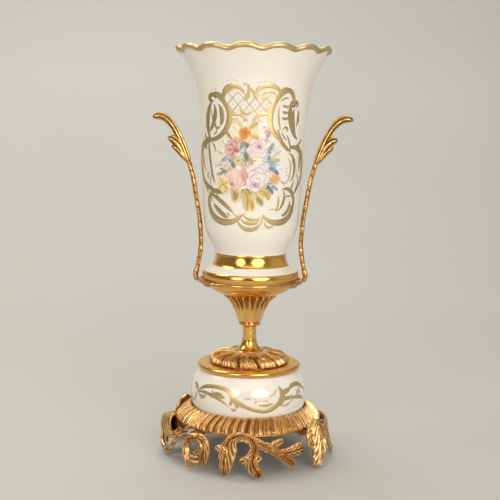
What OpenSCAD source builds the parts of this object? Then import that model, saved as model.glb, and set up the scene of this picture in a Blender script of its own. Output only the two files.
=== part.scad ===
// Mounted porcelain vase: a tall scalloped vase with two side branches, clamped
// by one tie rod to a turned brass stem, a porcelain bun and a cast openwork base.
// Millimetres. Origin on the floor under the axis, +Z up, the front faces -Y.

/* [Vase body] */
// Height of the porcelain body from its foot to the rim crests
body_h = 282; // [270:1:300]
// Radius of the rim at its lip
rim_r = 95; // [90:0.5:97]
// Number of scallops round the rim
rim_lobes = 14; // [8:1:20]
// Depth of a scallop below the crests
rim_dip = 3.6; // [2:0.2:5]
// Thickness of the porcelain wall
wall = 4.5; // [3.5:0.5:5.5]
// Widest radius of the body's spreading foot
foot_r = 59.5; // [58.5:0.1:60]

/* [Handles] */
// How far the leaf tips reach from the axis
handle_reach = 122; // [112:1:128]
// Thickness of the knotted twig that forms each handle
twig_d = 5.8; // [4.5:0.1:6.2]
// Angle that the lower twig runs round the foot, each way from the handle
twig_sweep = 58; // [40:1:62]

/* [Stem] */
// Radius of the straight stem tube
stem_r = 8.4; // [7.5:0.1:9]
// Radius of the collar above the stem tube
collar_r = 13.7; // [12:0.1:15]
// Radius of the turned cup under the vase
cup_r = 52; // [50:0.1:52.8]
// Radius of the cast leaf rosette
rosette_r = 49.8; // [46:0.1:52]

/* [Base] */
// Height of the ring's underside above the floor
leg_h = 42; // [42:0.5:43]
// Widest radius of the porcelain bun
bun_r = 71.6; // [70.5:0.1:71.8]
// Radius of the cap plate on the bun
plate_r = 64; // [60:0.5:66]
// Outer radius of the gadrooned ring
ring_r = 90; // [89:0.1:90.2]
// Circle on which the foot screws stand
lug_r = 84; // [83:0.5:85]

/* [Hardware] */
// Radius of the tie rod
rod_r = 5; // [4:0.5:5]
// Radius of a foot screw's shank
foot_screw_r = 1.95; // [1.45:0.05:1.95]
// Radius of a handle screw's shank
handle_screw_r = 1.45; // [0.95:0.05:1.45]

/* [Hidden] */
$fn = 96;

porcelain = "#f1e4d2";
polished = "#d6a748";
antique = "#b9813c";
satin = "#dcb56a";
steel = "#9da2a6";
felt = "#4a463f";
cork = "#b08d62";

bore_r = rod_r + 0.3;
screw_gap = 0.1;
gasket_t = 1;

// Heights of the stack, each piece standing on the one below
ledge_z = leg_h + 10;
ledge_t = 4;
bun_z = ledge_z + gasket_t;
bun_h = 53;
plate_z = bun_z + bun_h + gasket_t;
plate_t = 5.7;
step_z = plate_z + plate_t;
step_t = 4.3;
rosette_z = step_z + step_t;
rosette_h = 10;
flare_z = rosette_z + rosette_h;
flare_h = 16;
tube_z = flare_z + flare_h;
tube_h = 14.7;
collar_z = tube_z + tube_h;
collar_h = 6.8;
bell_z = collar_z + collar_h;
bell_h = 33.5;
cup_z = bell_z + bell_h;
cup_h = 15.5;
mount_z = cup_z + cup_h;
mount_t = 3.5;
body_z = mount_z + mount_t + gasket_t;

// Clamping pieces at the two ends of the rod
body_floor = 38;
pad_z = body_z + body_floor;
pad_t = 2;
washer_t = 2.5;
nut_t = 8;
nut_r = 9.8;
bridge_t = 4;
bridge_z = ledge_z - ledge_t - bridge_t;
rod_low = bridge_z - washer_t - nut_t - 2.5;
rod_high = pad_z + pad_t + washer_t + nut_t + 3.5;

// Foot lugs and the angles at which they stand, counted from the front
lug_t = 4;
lug_w = 9;
front_lugs = [-12, 6];
side_lugs = [-98, -76];
scroll_lug = -42;
leaf_lug = 50;
all_lugs = [for (turn = [0, 180], a = concat(front_lugs, side_lugs, [scroll_lug, leaf_lug])) a + turn];
tab_angle = 26;
tab_r = 55.8;
tab_t = 2.5;

// ---- Curves ----

// Point at share t of the smooth curve between points i and i + 1 of p
function between(p, i, t) =
    let(a = p[max(i - 1, 0)], b = p[i], c = p[i + 1], d = p[min(i + 2, len(p) - 1)])
    0.5 * (2 * b + (c - a) * t + (2 * a - 5 * b + 4 * c - d) * t * t
           + (3 * b - a - 3 * c + d) * t * t * t);

// Smooth curve through the points of p, with n steps between each two
function curve(p, n) = concat(
    [for (i = [0 : len(p) - 2], k = [0 : n - 1]) between(p, i, k / n)],
    [p[len(p) - 1]]);

function unit(v) = v / norm(v);

// Position of a station [angle from the front, radius, height, width, thickness]
function place(s) = [s[1] * sin(s[0]), -s[1] * cos(s[0]), s[2]];
function outward(s) = [sin(s[0]), -cos(s[0]), 0];
function sideways(s) = [cos(s[0]), sin(s[0]), 0];

// Axes of the oval section at station i. A strand that runs round the object keeps its
// thickness radial, and one that runs out from the axis keeps its width sideways.
function run(s, i) = unit(place(s[min(i + 1, len(s) - 1)]) - place(s[max(i - 1, 0)]));
function width_axis(s, i, radial) =
    let(t = run(s, i), side = sideways(s[i]), out = outward(s[i]))
    radial ? unit(side - (side * t) * t) : unit(cross(out - (out * t) * t, t));

// One leafy strand swept through its stations
module strand(stations, radial = false, steps = 3, sides = 8) {
    s = curve(stations, steps);
    n = len(s);
    points = [for (i = [0 : n - 1])
        let(w = width_axis(s, i, radial), h = cross(run(s, i), w))
        for (k = [0 : sides - 1])
            place(s[i]) + s[i][3] / 2 * cos(360 * k / sides) * w
                        + s[i][4] / 2 * sin(360 * k / sides) * h];
    walls = [for (i = [0 : n - 2], k = [0 : sides - 1])
        let(a = i * sides + k, b = i * sides + (k + 1) % sides)
        each [[a, a + sides, b + sides], [a, b + sides, b]]];
    ends = [[for (k = [0 : sides - 1]) k],
            [for (k = [sides - 1 : -1 : 0]) (n - 1) * sides + k]];
    polyhedron(points, concat(walls, ends), convexity = 6);
}

// Solid of revolution from [radius, height] points, standing at height z
module turned(outline, z = 0) {
    translate([0, 0, z]) rotate_extrude() polygon(outline);
}

// Flat ring from radius r0 to radius r1
module flat_ring(r0, r1, z, t) {
    turned([[r0, 0], [r1, 0], [r1, t], [r0, t]], z);
}

// ---- Porcelain ----

// Outside of the body as [radius, height above its foot]
foot_side = curve([[foot_r - 1, 0], [foot_r, 5], [foot_r - 1.5, 10.5], [52, 14],
                   [46.5, 18]], 3);
body_side = curve([[46, 18.5], [44, 25], [43.5, 32], [45, 37], [50, 46], [54, 54],
                   [57.5, 67], [60, 92], [63, 146], [66, 194], [69.5, body_h - 58],
                   [73, body_h - 40], [81, body_h - 23], [89.5, body_h - 9],
                   [rim_r, body_h]], 3);
inner_side = [for (p = body_side) if (p[1] > 52) [p[0] - wall, p[1]]];
inner_floor = curve([[42.5, 46.5], [34, 41], [22, body_floor]], 3);
foot_hollow = curve([[30, 29], [37, 25], [39.5, 20], [45, 14], [foot_r - 6.5, 7],
                     [foot_r - 6, 0]], 3);
reversed_inner = [for (i = [len(inner_side) - 1 : -1 : 0]) inner_side[i]];
floor_bore = rod_r + 1.5;

module vase_body() {
    color(porcelain) difference() {
        turned(concat(foot_side, body_side, reversed_inner, inner_floor,
                      [[floor_bore, body_floor], [floor_bore, 29]], foot_hollow), body_z);
        for (i = [0 : rim_lobes - 1]) rotate(6 + 360 / rim_lobes * i) scallop();
    }
}

// Round cutter that dips the rim between two crests
module scallop() {
    half = rim_r * sin(180 / rim_lobes) * 0.72;
    cut_r = (half * half + rim_dip * rim_dip) / (2 * rim_dip);
    translate([0, -rim_r - 10, body_z + body_h - rim_dip + cut_r])
        rotate([-90, 0, 0]) cylinder(r = cut_r, h = 40);
}

bun_side = curve([[66.5, 0], [69, 4], [bun_r - 1, 10], [bun_r, 22], [70, 35],
                  [64.5, 47], [60.5, bun_h]], 4);
bun_hollow = curve([[60, bun_h - 11], [64.5, 35], [bun_r - 5, 22], [65.5, 10],
                    [61.5, 0]], 4);

module base_bun() {
    bun_top = bun_h - 5;
    color(porcelain) turned(concat(bun_side, [[8, bun_h], [8, bun_top], [52, bun_top]],
                                   bun_hollow), bun_z);
}

// ---- Turned and cast metal of the stem ----

module cup() {
    color(polished) turned(concat(
        [[bore_r, 0], [31, 0]],
        curve([[33, 0], [37, 2], [45.5, 5.5], [50.5, 11], [cup_r, 14.5]], 4),
        [[cup_r, cup_h], [47.5, cup_h]],
        curve([[46.5, 12], [42, 8], [33, 4.6], [20, 4]], 3),
        [[bore_r, 4]]), cup_z);
}

module fluted_bell() {
    flutes = 18;
    color(antique) difference() {
        turned(concat(
            [[bore_r, 0], [14, 0]],
            curve([[14.8, 0.6], [17.5, 9], [21, 17], [25, 25], [30, 31], [33, bell_h]], 4),
            [[26, bell_h]],
            curve([[23, 29.5], [16, 19], [12, 9.5], [9, 6]], 3),
            [[bore_r, 6]]), bell_z);
        for (i = [0 : flutes - 1])
            rotate(i * 360 / flutes) translate([18.6, 0, bell_z + 8])
                rotate([0, 24, 0]) cylinder(r = 1.3, h = 15);
    }
}

module stem_collar() {
    color(polished) turned([[bore_r, 0], [stem_r + 0.9, 0], [stem_r + 1.8, 0.6],
                            [collar_r, 2.8], [collar_r, 5.8], [collar_r - 0.9, collar_h],
                            [bore_r, collar_h]], collar_z);
}

module stem_tube() {
    color(satin) flat_ring(bore_r, stem_r, tube_z, tube_h);
}

module stem_flare() {
    color(polished) turned(concat(
        [[bore_r, 0], [18, 0]],
        curve([[17.5, 1], [13.5, 3.5], [10.5, 7.5], [9.2, 12], [8.9, flare_h]], 4),
        [[bore_r, flare_h]]), flare_z);
}

module leaf_rosette() {
    leaves = 12;
    color(antique) difference() {
        turned(concat(
            [[bore_r, 0], [44, 0], [47.6, -3.4], [rosette_r - 0.6, -3.2],
             [rosette_r, -1.2]],
            curve([[rosette_r - 1.6, 1.8], [41, 5.2], [30, 7], [22, 8.9],
                   [18.4, rosette_h]], 3),
            [[bore_r, rosette_h]]), rosette_z);
        for (i = [0 : leaves - 1])
            rotate((i + 0.5) * 360 / leaves)
                translate([rosette_r + 1.2, 0, rosette_z - 6]) cylinder(r = 3, h = 12);
    }
}

module step_disc() {
    color(polished) turned([[bore_r, 0], [42.4, 0], [43, 0.8], [43, 3.3],
                            [42, step_t], [bore_r, step_t]], step_z);
}

module cap_plate() {
    color(polished) turned([[bore_r, 0], [plate_r - 0.9, 0], [plate_r, 1], [plate_r, 4.4],
                            [plate_r - 1.6, plate_t], [bore_r, plate_t]], plate_z);
}

// ---- Gadrooned ring ----

ring_side = curve([[72.5, 8.5], [76.5, 6], [81.5, 2], [86.5, -2.5], [ring_r - 0.5, -6],
                   [ring_r, -8.5]], 3);

module gadroon_ring() {
    color(antique) difference() {
        turned(concat(
            [[60, -ledge_t], [60, 0], [71, 0], [71.5, 7.5], [72, 8.5]],
            ring_side,
            [[ring_r - 1.4, -10], [78, -10], [78, -7], [74, -ledge_t]]), ledge_z);
        for (a = all_lugs) rotate(a) translate([0, -lug_r, leg_h - 1])
            cylinder(r = foot_screw_r + screw_gap, h = 6);
    }
}

module bridge_plate() {
    color(steel) flat_ring(bore_r, 69.5, bridge_z, bridge_t);
}

// ---- Handles ----

// The twig, out of the foot, up beside the body and into the leaf, with its width and
// thickness as shares of twig_d
twig_path = [[90, 62, 215.5, 0.86, 0.86], [90, 66.5, 216.5, 1.04, 1.1],
             [90, 68, 221.5, 1.04, 1.14], [90, 66.5, 228, 1, 1.04], [90, 64.5, 236, 1, 1],
             [90, 62, 253, 1, 1], [90, 61.5, 265, 1, 1], [90, 62.5, 278, 1, 1],
             [90, 63.5, 290, 1, 1], [90, 67.5, 315, 1, 1], [90, 71.5, 339, 1, 1],
             [90, 75, 352, 1, 1], [90, 78, 363, 1.1, 1.1]];
twig = [for (s = twig_path) [s[0], s[1], s[2], s[3] * twig_d, s[4] * twig_d]];
// Upper leaf, from inside the twig's end to its curled tip, and the lobed leaf below it
upper_leaf = [[90, 77, 358, 7, 7], [90, 81.5, 371, 9, 9.5], [90, 88.5, 388, 9, 9.5],
              [90, 95.5, 401, 9.5, 9.5], [90, 103.5, 410.5, 10, 10.5],
              [90, handle_reach - 10, 415, 10, 10.5],
              [90, handle_reach - 3.5, 414.5, 9, 8.5], [90, handle_reach - 0.5, 413, 5, 5]];
lower_leaf = [[90, 79.5, 361, 6, 7], [90, 84.5, 371, 10, 11], [90, 89.5, 380, 11, 13.5],
              [90, 96, 386.5, 11, 12], [90, 101, 388.5, 9, 8.5], [90, 103.5, 388, 5, 4]];
lower_lobe = [[90, 82, 364, 7, 7], [90, 87.5, 371.5, 9, 9], [90, 92.5, 376.5, 9, 8.5],
              [90, 96.5, 378.5, 7, 6], [90, 98.5, 378, 4, 3]];

// Lower twig that hugs the underside of the foot and thins out towards its ends
hug_path = [for (k = [-4 : 4])
    let(share = abs(k) / 4, size = 5.2 - 3 * share * share)
    [90 + twig_sweep * k / 4, 61.8 + 0.5 * (1 - share), 215.4, size, size]];

module handle() {
    color(antique) difference() {
        union() {
            strand(twig, radial = true, steps = 3);
            strand(upper_leaf, radial = true, steps = 3);
            strand(lower_leaf, radial = true, steps = 2);
            strand(lower_lobe, radial = true, steps = 2);
            strand(hug_path, steps = 3);
            for (a = [-tab_angle, tab_angle]) rotate(90 + a) tab();
        }
        for (a = [-tab_angle, tab_angle]) rotate(90 + a)
            translate([0, -tab_r, mount_z - tab_t - 1])
                cylinder(r = handle_screw_r + screw_gap, h = tab_t + 2);
    }
}

// Tab that reaches under the mounting ring, for one screw
module tab() {
    translate([0, -tab_r, mount_z - tab_t]) cylinder(r = 2.9, h = tab_t);
    translate([-2.5, -61.6, mount_z - tab_t]) cube([5, 61.6 - tab_r, tab_t]);
}

module handle_right() {
    handle();
}

module handle_left() {
    rotate(180) handle();
}

module mount_ring() {
    color(polished) difference() {
        flat_ring(bore_r, 58.4, mount_z, mount_t);
        for (side = [90, 270], a = [-tab_angle, tab_angle]) rotate(side + a)
            translate([0, -tab_r, mount_z - 1])
                cylinder(r = handle_screw_r + screw_gap, h = mount_t);
    }
}

module handle_screws() {
    color(steel) for (side = [90, 270], a = [-tab_angle, tab_angle]) rotate(side + a)
        translate([0, -tab_r, mount_z - tab_t]) screw(handle_screw_r, 2.6, 1.5, tab_t + 2.2);
}

// Screw that points up, with its head under z = 0
module screw(shank_r, head_r, head_h, reach) {
    cylinder(r = shank_r, h = reach);
    translate([0, 0, -head_h]) cylinder(r = head_r, h = head_h);
}

// ---- Openwork feet ----

// Cuts the soles level with the floor
module on_floor() {
    difference() {
        children();
        translate([-150, -150, -20]) cube([300, 300, 20]);
    }
}

// Flat lug that reaches under the ring at angle a, for one screw
module lug(a, reach) {
    rotate(a) difference() {
        union() {
            translate([0, -lug_r, leg_h - lug_t]) cylinder(r = lug_w / 2 + 1, h = lug_t);
            translate([-lug_w / 2, -reach, leg_h - lug_t])
                cube([lug_w, reach - lug_r, lug_t]);
        }
        translate([0, -lug_r, leg_h - lug_t - 1])
            cylinder(r = foot_screw_r + screw_gap, h = lug_t + 2);
    }
}

// Arch of two legs under a leafy crown, with a branch that reaches to the right
arch_leaf_leg = [[3, 97.4, 41.5, 7, 5], [-4, 98, 45.5, 11, 7], [-10, 99.5, 41.5, 15, 7],
                 [-12.6, 102, 31, 23, 8], [-13.4, 104, 18, 21, 8], [-13.8, 105.5, 8, 14, 7],
                 [-13.8, 105.5, -1, 8, 7]];
arch_scroll_leg = [[-6, 97.4, 42, 7, 5], [0, 98, 43.5, 11, 7], [4.4, 100, 36, 12, 7],
                   [3.8, 102, 27.5, 13, 7], [2.2, 104, 19, 18, 8], [3.6, 105, 11, 16, 8],
                   [6, 106, 4, 13, 9], [7, 106.4, -1, 12, 9]];
arch_side_lobe = [[-13.5, 102, 27.5, 13, 6], [-18, 103.4, 30.5, 11, 5],
                  [-21.2, 104, 32.5, 5, 3]];
arch_lobe = [[2.5, 104, 19, 11, 6], [-1.6, 105.4, 19.5, 11, 6], [-4.6, 106, 17, 6, 4]];
arch_spur = [[4, 104.4, 17, 8, 5], [7, 104.8, 21.5, 7, 5], [8.6, 104.8, 25, 3.5, 3]];
arch_branch = [[-3, 97.6, 44, 8, 5], [5, 98, 39.5, 11, 6], [10, 98.4, 34.5, 12, 6],
               [16, 99, 30.5, 13, 6.5], [22, 99.8, 23.5, 13, 6.5], [28, 101.4, 15, 13, 6.5],
               [32.6, 102.8, 8.5, 9, 5]];
arch_upper_leaf = [[14.5, 99, 31, 8, 5], [20, 99, 36.5, 10, 5], [25, 99.4, 39.5, 6, 4]];
arch_link = [[18, 99.4, 26, 8, 5], [26, 99.8, 24.5, 11, 6], [33, 99.6, 25, 16, 6],
             [38.5, 98.6, 26, 17, 6], [42.4, 97.4, 26, 13, 5]];

module foot_arch(turn) {
    color(antique) rotate(turn) {
        on_floor() union() {
            strand(arch_leaf_leg);
            strand(arch_scroll_leg);
            strand(arch_side_lobe, steps = 2);
            strand(arch_lobe, steps = 2);
            strand(arch_spur, steps = 2);
            strand(arch_branch);
            strand(arch_upper_leaf, steps = 2);
            strand(arch_link, steps = 2);
            lug(front_lugs[0], 99);
            lug(front_lugs[1], 97);
        }
    }
}

module foot_arch_front() {
    foot_arch(0);
}

module foot_arch_back() {
    foot_arch(180);
}

// Rolled leaf that bulges out on the left, hollow from its front end, with a looped strap
side_roll = [[-69, 96.8, 39.5, 27, 12.5], [-74, 98.6, 37.8, 28, 14.5],
             [-80, 100.8, 35.4, 27.5, 16], [-86, 101.6, 33.8, 26.5, 16], [-92, 101, 33, 24, 14],
             [-98, 98.8, 35, 18, 9], [-101, 97.5, 37, 12, 5]];
side_hollow = [[-66.5, 96.2, 41.5, 18, 8.4], [-69, 96.6, 41.3, 19, 9], [-75, 98, 39.8, 19, 10],
               [-82, 100, 37, 17, 9], [-87, 100.6, 35.5, 12, 6]];
side_band = [[-78, 101, 25, 8, 6], [-70, 98.8, 26.5, 8, 5.5], [-62, 97.4, 34, 7, 5],
             [-56.5, 96.4, 40.5, 6, 5]];
side_loop = [[-90, 104.5, 27, 9, 5], [-89.5, 107, 18, 8, 5], [-84, 106, 8.5, 7, 5.5],
             [-77.5, 103, 4.5, 7, 5.5], [-72, 100, 9, 6.5, 5], [-66.5, 98, 19, 6.5, 5],
             [-60.5, 97.2, 28.5, 6.5, 5], [-55, 96.6, 36.5, 7, 5], [-50.5, 95.4, 42.5, 6, 4.5],
             [-45.5, 94.4, 46.5, 5, 4.5], [-41.5, 94, 47.2, 4, 4]];
side_leg = [[-92, 103, 27, 10, 6], [-97, 104, 15, 9, 6], [-101, 105.5, 6, 8, 5.4],
            [-102.5, 106.5, -1, 7, 5.4]];

module foot_side_left() {
    color(antique) on_floor() difference() {
        union() {
            strand(side_roll);
            strand(side_band, steps = 2);
            strand(side_loop);
            strand(side_leg, radial = true);
            lug(side_lugs[0], 97);
            lug(side_lugs[1], 93);
        }
        strand(side_hollow, steps = 2);
    }
}

// V-shaped strap on the right, hung from a rail under the ring, with a leaf in its fork
right_rail = [[69.5, 96.6, 38, 6, 4.5], [75, 96.8, 38.6, 8, 5], [90, 96.8, 39, 8, 5],
              [105, 96.8, 38.6, 8, 5], [114, 96.6, 38, 6, 4.5]];
right_strap = [[71.5, 96.8, 38, 8, 5], [74, 98, 35.5, 10, 6], [78, 99.5, 27.5, 9.5, 6],
               [81.5, 101, 17, 7, 5], [85, 103.5, 7, 5.5, 5], [88.5, 105, 2.4, 6, 5],
               [93, 104.2, 5, 6, 5], [98, 102, 14, 8, 5], [103.5, 99.8, 25, 10, 6],
               [108, 98.4, 33.5, 11, 6], [112, 96.8, 38.4, 9, 5]];
right_leaf = [[92, 96.4, 40, 12, 5], [92, 97.4, 31, 15, 6], [91.5, 99.4, 20, 11, 5],
              [91, 101.6, 10, 4, 4]];

module foot_side_right() {
    color(antique) on_floor() union() {
        strand(right_rail, steps = 2);
        strand(right_strap);
        strand(right_leaf, steps = 2);
        lug(side_lugs[0] + 180, 97);
        lug(side_lugs[1] + 180, 97);
    }
}

// Open scroll whose two sides come down to two tips round a hole
scroll_left = [[-33, 98, 36, 7, 5], [-38.5, 98.6, 38, 10, 7], [-43.5, 100, 34, 12, 7.5],
               [-45.8, 101.5, 26, 11, 7], [-45.4, 102, 17, 12, 7], [-44, 101.2, 8, 10, 7],
               [-43, 99.5, -1, 7, 7]];
scroll_right = [[-40, 98, 36, 7, 5], [-34.5, 98.6, 38.5, 11, 7], [-30.4, 100, 34, 13, 7.5],
                [-29, 101.5, 26, 14, 8], [-30.2, 101, 17, 14, 8], [-32, 98.5, 9, 11, 7],
                [-32.4, 96, 2.5, 8, 6]];
scroll_floor = [[-44.5, 101.5, 14, 9, 5], [-39, 103, 12, 10, 6], [-33.6, 102, 13, 9, 5]];
scroll_curl = [[-32, 101, 33, 7, 4], [-33.6, 102, 26, 7, 4], [-35.4, 102.6, 21, 6, 4],
               [-38, 103, 21.5, 3.5, 3]];

module foot_scroll(turn) {
    color(antique) rotate(turn) {
        on_floor() union() {
            strand(scroll_left);
            strand(scroll_right);
            strand(scroll_floor, steps = 2);
            strand(scroll_curl, steps = 2);
            lug(scroll_lug, 98);
        }
    }
}

module foot_scroll_front_left() {
    foot_scroll(0);
}

module foot_scroll_back_right() {
    foot_scroll(180);
}

// Broad leaf that folds over at the top, with a narrow band beside a slit
leaf_main = [[58, 97.4, 43, 8, 5], [55, 98.8, 48.5, 14, 7], [54, 100.6, 40, 19, 8],
             [54.2, 103, 28, 21, 9], [54.2, 104, 16, 21, 9], [54, 103.8, 6, 20, 8],
             [53.6, 103.6, -1, 15, 8]];
leaf_band = [[50, 97.4, 44, 7, 5], [56, 98.8, 49, 10, 6], [62.6, 100.2, 41, 9, 5.5],
             [66, 101.4, 28.5, 9, 5], [64.5, 102.4, 17, 10, 5], [60, 103.2, 7, 10, 6]];
leaf_edge = [[50, 97.4, 51, 7, 5], [47.4, 98.8, 44, 8, 6], [46.2, 100.6, 34, 8, 6],
             [47.6, 102, 23, 8, 6]];

module foot_leaf(turn) {
    color(antique) rotate(turn) {
        on_floor() union() {
            strand(leaf_main);
            strand(leaf_band);
            strand(leaf_edge, steps = 2);
            lug(leaf_lug, 99);
        }
    }
}

module foot_leaf_front_right() {
    foot_leaf(0);
}

module foot_leaf_back_left() {
    foot_leaf(180);
}

module foot_screws() {
    color(steel) for (a = all_lugs) rotate(a)
        translate([0, -lug_r, leg_h - lug_t]) screw(foot_screw_r, 3.5, 2.5, lug_t + 4);
}

// ---- Tie rod, nuts, washers and gaskets ----

module tie_rod() {
    color(steel) translate([0, 0, rod_low]) cylinder(r = rod_r, h = rod_high - rod_low);
}

module hex_nut(z) {
    color(steel) translate([0, 0, z]) difference() {
        cylinder(r = nut_r, h = nut_t, $fn = 6);
        translate([0, 0, -1]) cylinder(r = rod_r + 0.05, h = nut_t + 2);
    }
}

module top_nut() {
    hex_nut(pad_z + pad_t + washer_t);
}

module top_washer() {
    color(steel) flat_ring(bore_r, 16, pad_z + pad_t, washer_t);
}

module top_pad() {
    color(felt) flat_ring(bore_r, 19, pad_z, pad_t);
}

module bottom_washer() {
    color(steel) flat_ring(bore_r, 14, bridge_z - washer_t, washer_t);
}

module bottom_nut() {
    hex_nut(bridge_z - washer_t - nut_t);
}

module foot_gasket() {
    color(cork) flat_ring(foot_r - 5.8, foot_r - 1.6, mount_z + mount_t, gasket_t);
}

module cap_gasket() {
    color(cork) flat_ring(40, 59, plate_z - gasket_t, gasket_t);
}

module bun_gasket() {
    color(cork) flat_ring(61.8, 66.2, ledge_z, gasket_t);
}

vase_body();
handle_left();
handle_right();
mount_ring();
handle_screws();
foot_gasket();
cup();
fluted_bell();
stem_collar();
stem_tube();
stem_flare();
leaf_rosette();
step_disc();
cap_plate();
cap_gasket();
base_bun();
bun_gasket();
gadroon_ring();
bridge_plate();
foot_arch_front();
foot_arch_back();
foot_side_left();
foot_side_right();
foot_scroll_front_left();
foot_scroll_back_right();
foot_leaf_front_right();
foot_leaf_back_left();
foot_screws();
tie_rod();
top_nut();
top_washer();
top_pad();
bottom_washer();
bottom_nut();
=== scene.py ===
import math

import bpy
import numpy as np
from mathutils import Matrix, Vector


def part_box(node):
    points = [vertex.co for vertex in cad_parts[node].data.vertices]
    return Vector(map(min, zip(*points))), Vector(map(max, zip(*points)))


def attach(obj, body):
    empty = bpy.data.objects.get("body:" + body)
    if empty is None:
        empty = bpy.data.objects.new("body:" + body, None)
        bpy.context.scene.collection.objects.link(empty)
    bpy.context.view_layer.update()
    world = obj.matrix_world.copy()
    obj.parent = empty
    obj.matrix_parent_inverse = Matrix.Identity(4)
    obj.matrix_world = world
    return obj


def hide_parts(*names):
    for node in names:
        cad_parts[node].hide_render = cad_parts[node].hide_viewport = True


# Looks of the mounted porcelain vase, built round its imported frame. Sizes in the code are
# millimetres, turned into metres when a mesh is made. Angles are degrees round the axis,
# counted from the front (-Y) towards +X.

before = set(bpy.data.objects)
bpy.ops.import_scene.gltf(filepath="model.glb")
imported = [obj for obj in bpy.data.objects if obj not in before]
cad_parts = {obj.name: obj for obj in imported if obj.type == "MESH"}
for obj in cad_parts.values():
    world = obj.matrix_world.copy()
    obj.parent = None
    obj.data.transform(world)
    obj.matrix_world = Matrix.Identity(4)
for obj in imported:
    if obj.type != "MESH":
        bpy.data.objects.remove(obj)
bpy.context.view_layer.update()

MM = 0.001
TAU = 2 * math.pi
rng = np.random.default_rng(11)


# ---- Places taken from the frame ----

def low(node):
    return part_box(node)[0].z / MM


def high(node):
    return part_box(node)[1].z / MM


def reach(node):
    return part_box(node)[1].x / MM


def span(node):
    return low(node), high(node)


def side_of(node, heights):
    """Outer radius of a CAD node at each height, where its mesh edges cross that height."""
    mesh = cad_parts[node].data
    points = np.array([v.co for v in mesh.vertices]) / MM
    ends = points[np.array([e.vertices for e in mesh.edges])]
    rise = ends[:, 1, 2] - ends[:, 0, 2]
    slanted = np.abs(rise) > 1e-6
    a, b, rise = ends[slanted, 0], ends[slanted, 1], rise[slanted]
    radii = []
    for z in heights:
        share = (z - a[:, 2]) / rise
        hit = (share >= -1e-4) & (share <= 1 + 1e-4)
        crossing = a[hit] + share[hit, None] * (b[hit] - a[hit])
        radii.append(np.hypot(crossing[:, 0], crossing[:, 1]).max())
    return np.array(radii)


def softened(values, reach_steps):
    """Moving average that takes the facets off a measured side and keeps its two ends."""
    kernel = np.hanning(2 * reach_steps + 3)[1:-1]
    kernel /= kernel.sum()
    head = 2 * values[0] - values[reach_steps:0:-1]
    tail = 2 * values[-1] - values[-2:-reach_steps - 2:-1]
    return np.convolve(np.concatenate([head, values, tail]), kernel, mode="valid")


def outer_side(node, z0, z1, count):
    """Outside of a turned CAD node between two heights, as (r, z) points without facets."""
    z = np.linspace(z0, z1, count)
    return np.stack([softened(side_of(node, z), 4), z], 1)


# Radius of the hole for the tie rod, and the porcelain's wall
BORE = 5.4
WALL = 4.5
BODY_LOW, BODY_TOP = span("vase_body")

# The rim's lobes: how many, the angle of one valley, and how far a valley dips and pulls in
LOBES = 14
VALLEY = 6
RIM_DIP = 3.6
RIM_PULL = 3.4

# Middle height of each decoration, and the radius at which it is laid out flat
BODY_MIDDLE = BODY_LOW + 150
BODY_UNROLL = 62
BUN_MIDDLE = low("base_bun") + 27
BUN_UNROLL = 71
FLOWERS_MIDDLE = BODY_LOW + 148

# Heights of the body between which its mesh is fine enough for the painted flowers
PAINTED_LOW = 308
PAINTED_TOP = 412

body_heights = np.arange(BODY_LOW + 0.3, BODY_TOP - 5, 0.6)
body_radii = softened(side_of("vase_body", body_heights), 3)
rim_heights = np.append(body_heights, BODY_TOP)
rim_radii = np.append(body_radii, reach("vase_body"))
bun_heights = np.arange(low("base_bun") + 0.2, high("base_bun") - 0.1, 0.6)
bun_radii = softened(side_of("base_bun", bun_heights), 4)


def body_side(z):
    return np.interp(z, rim_heights, rim_radii)


def bun_side(z):
    return np.interp(z, bun_heights, bun_radii)


# ---- Mesh helpers ----

def smoothstep(edge0, edge1, x):
    t = np.clip((x - edge0) / (edge1 - edge0), 0, 1)
    return t * t * (3 - 2 * t)


def smooth_path(points, steps):
    """Smooth curve through the points, with a number of steps between each two."""
    p = np.asarray(points, float)
    p = np.vstack([p[:1], p, p[-1:]])
    t = np.linspace(0, 1, steps, endpoint=False)[:, None]
    pieces = []
    for a, b, c, d in zip(p, p[1:], p[2:], p[3:]):
        bend = (2 * a - 5 * b + 4 * c - d) * t ** 2 + (3 * b - a - 3 * c + d) * t ** 3
        pieces.append(0.5 * (2 * b + (c - a) * t + bend))
    return np.vstack(pieces + [p[-1:]])


def rounded(corners, steps=5):
    """Outline with each (r, z, radius) corner rounded by an arc of that radius."""
    points = []
    n = len(corners)
    for k, (r, z, radius) in enumerate(corners):
        here = np.array([r, z], float)
        if radius <= 0:
            points.append(here)
            continue
        back = np.array(corners[k - 1][:2], float) - here
        ahead = np.array(corners[(k + 1) % n][:2], float) - here
        start = here + back / np.linalg.norm(back) * radius
        end = here + ahead / np.linalg.norm(ahead) * radius
        for t in np.linspace(0, 1, steps):
            points.append((1 - t) ** 2 * start + 2 * t * (1 - t) * here + t ** 2 * end)
    return np.array(points)


def grid_faces(rows, cols, close_rows, close_cols):
    """Quads over a grid of points, closed round its rows or columns where asked."""
    i = np.arange(rows if close_rows else rows - 1)[:, None]
    j = np.arange(cols if close_cols else cols - 1)[None, :]
    up = (i + 1) % rows
    right = (j + 1) % cols
    corners = [i * cols + j, i * cols + right, up * cols + right, up * cols + j]
    return np.stack(corners, -1).reshape(-1, 4)


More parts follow.
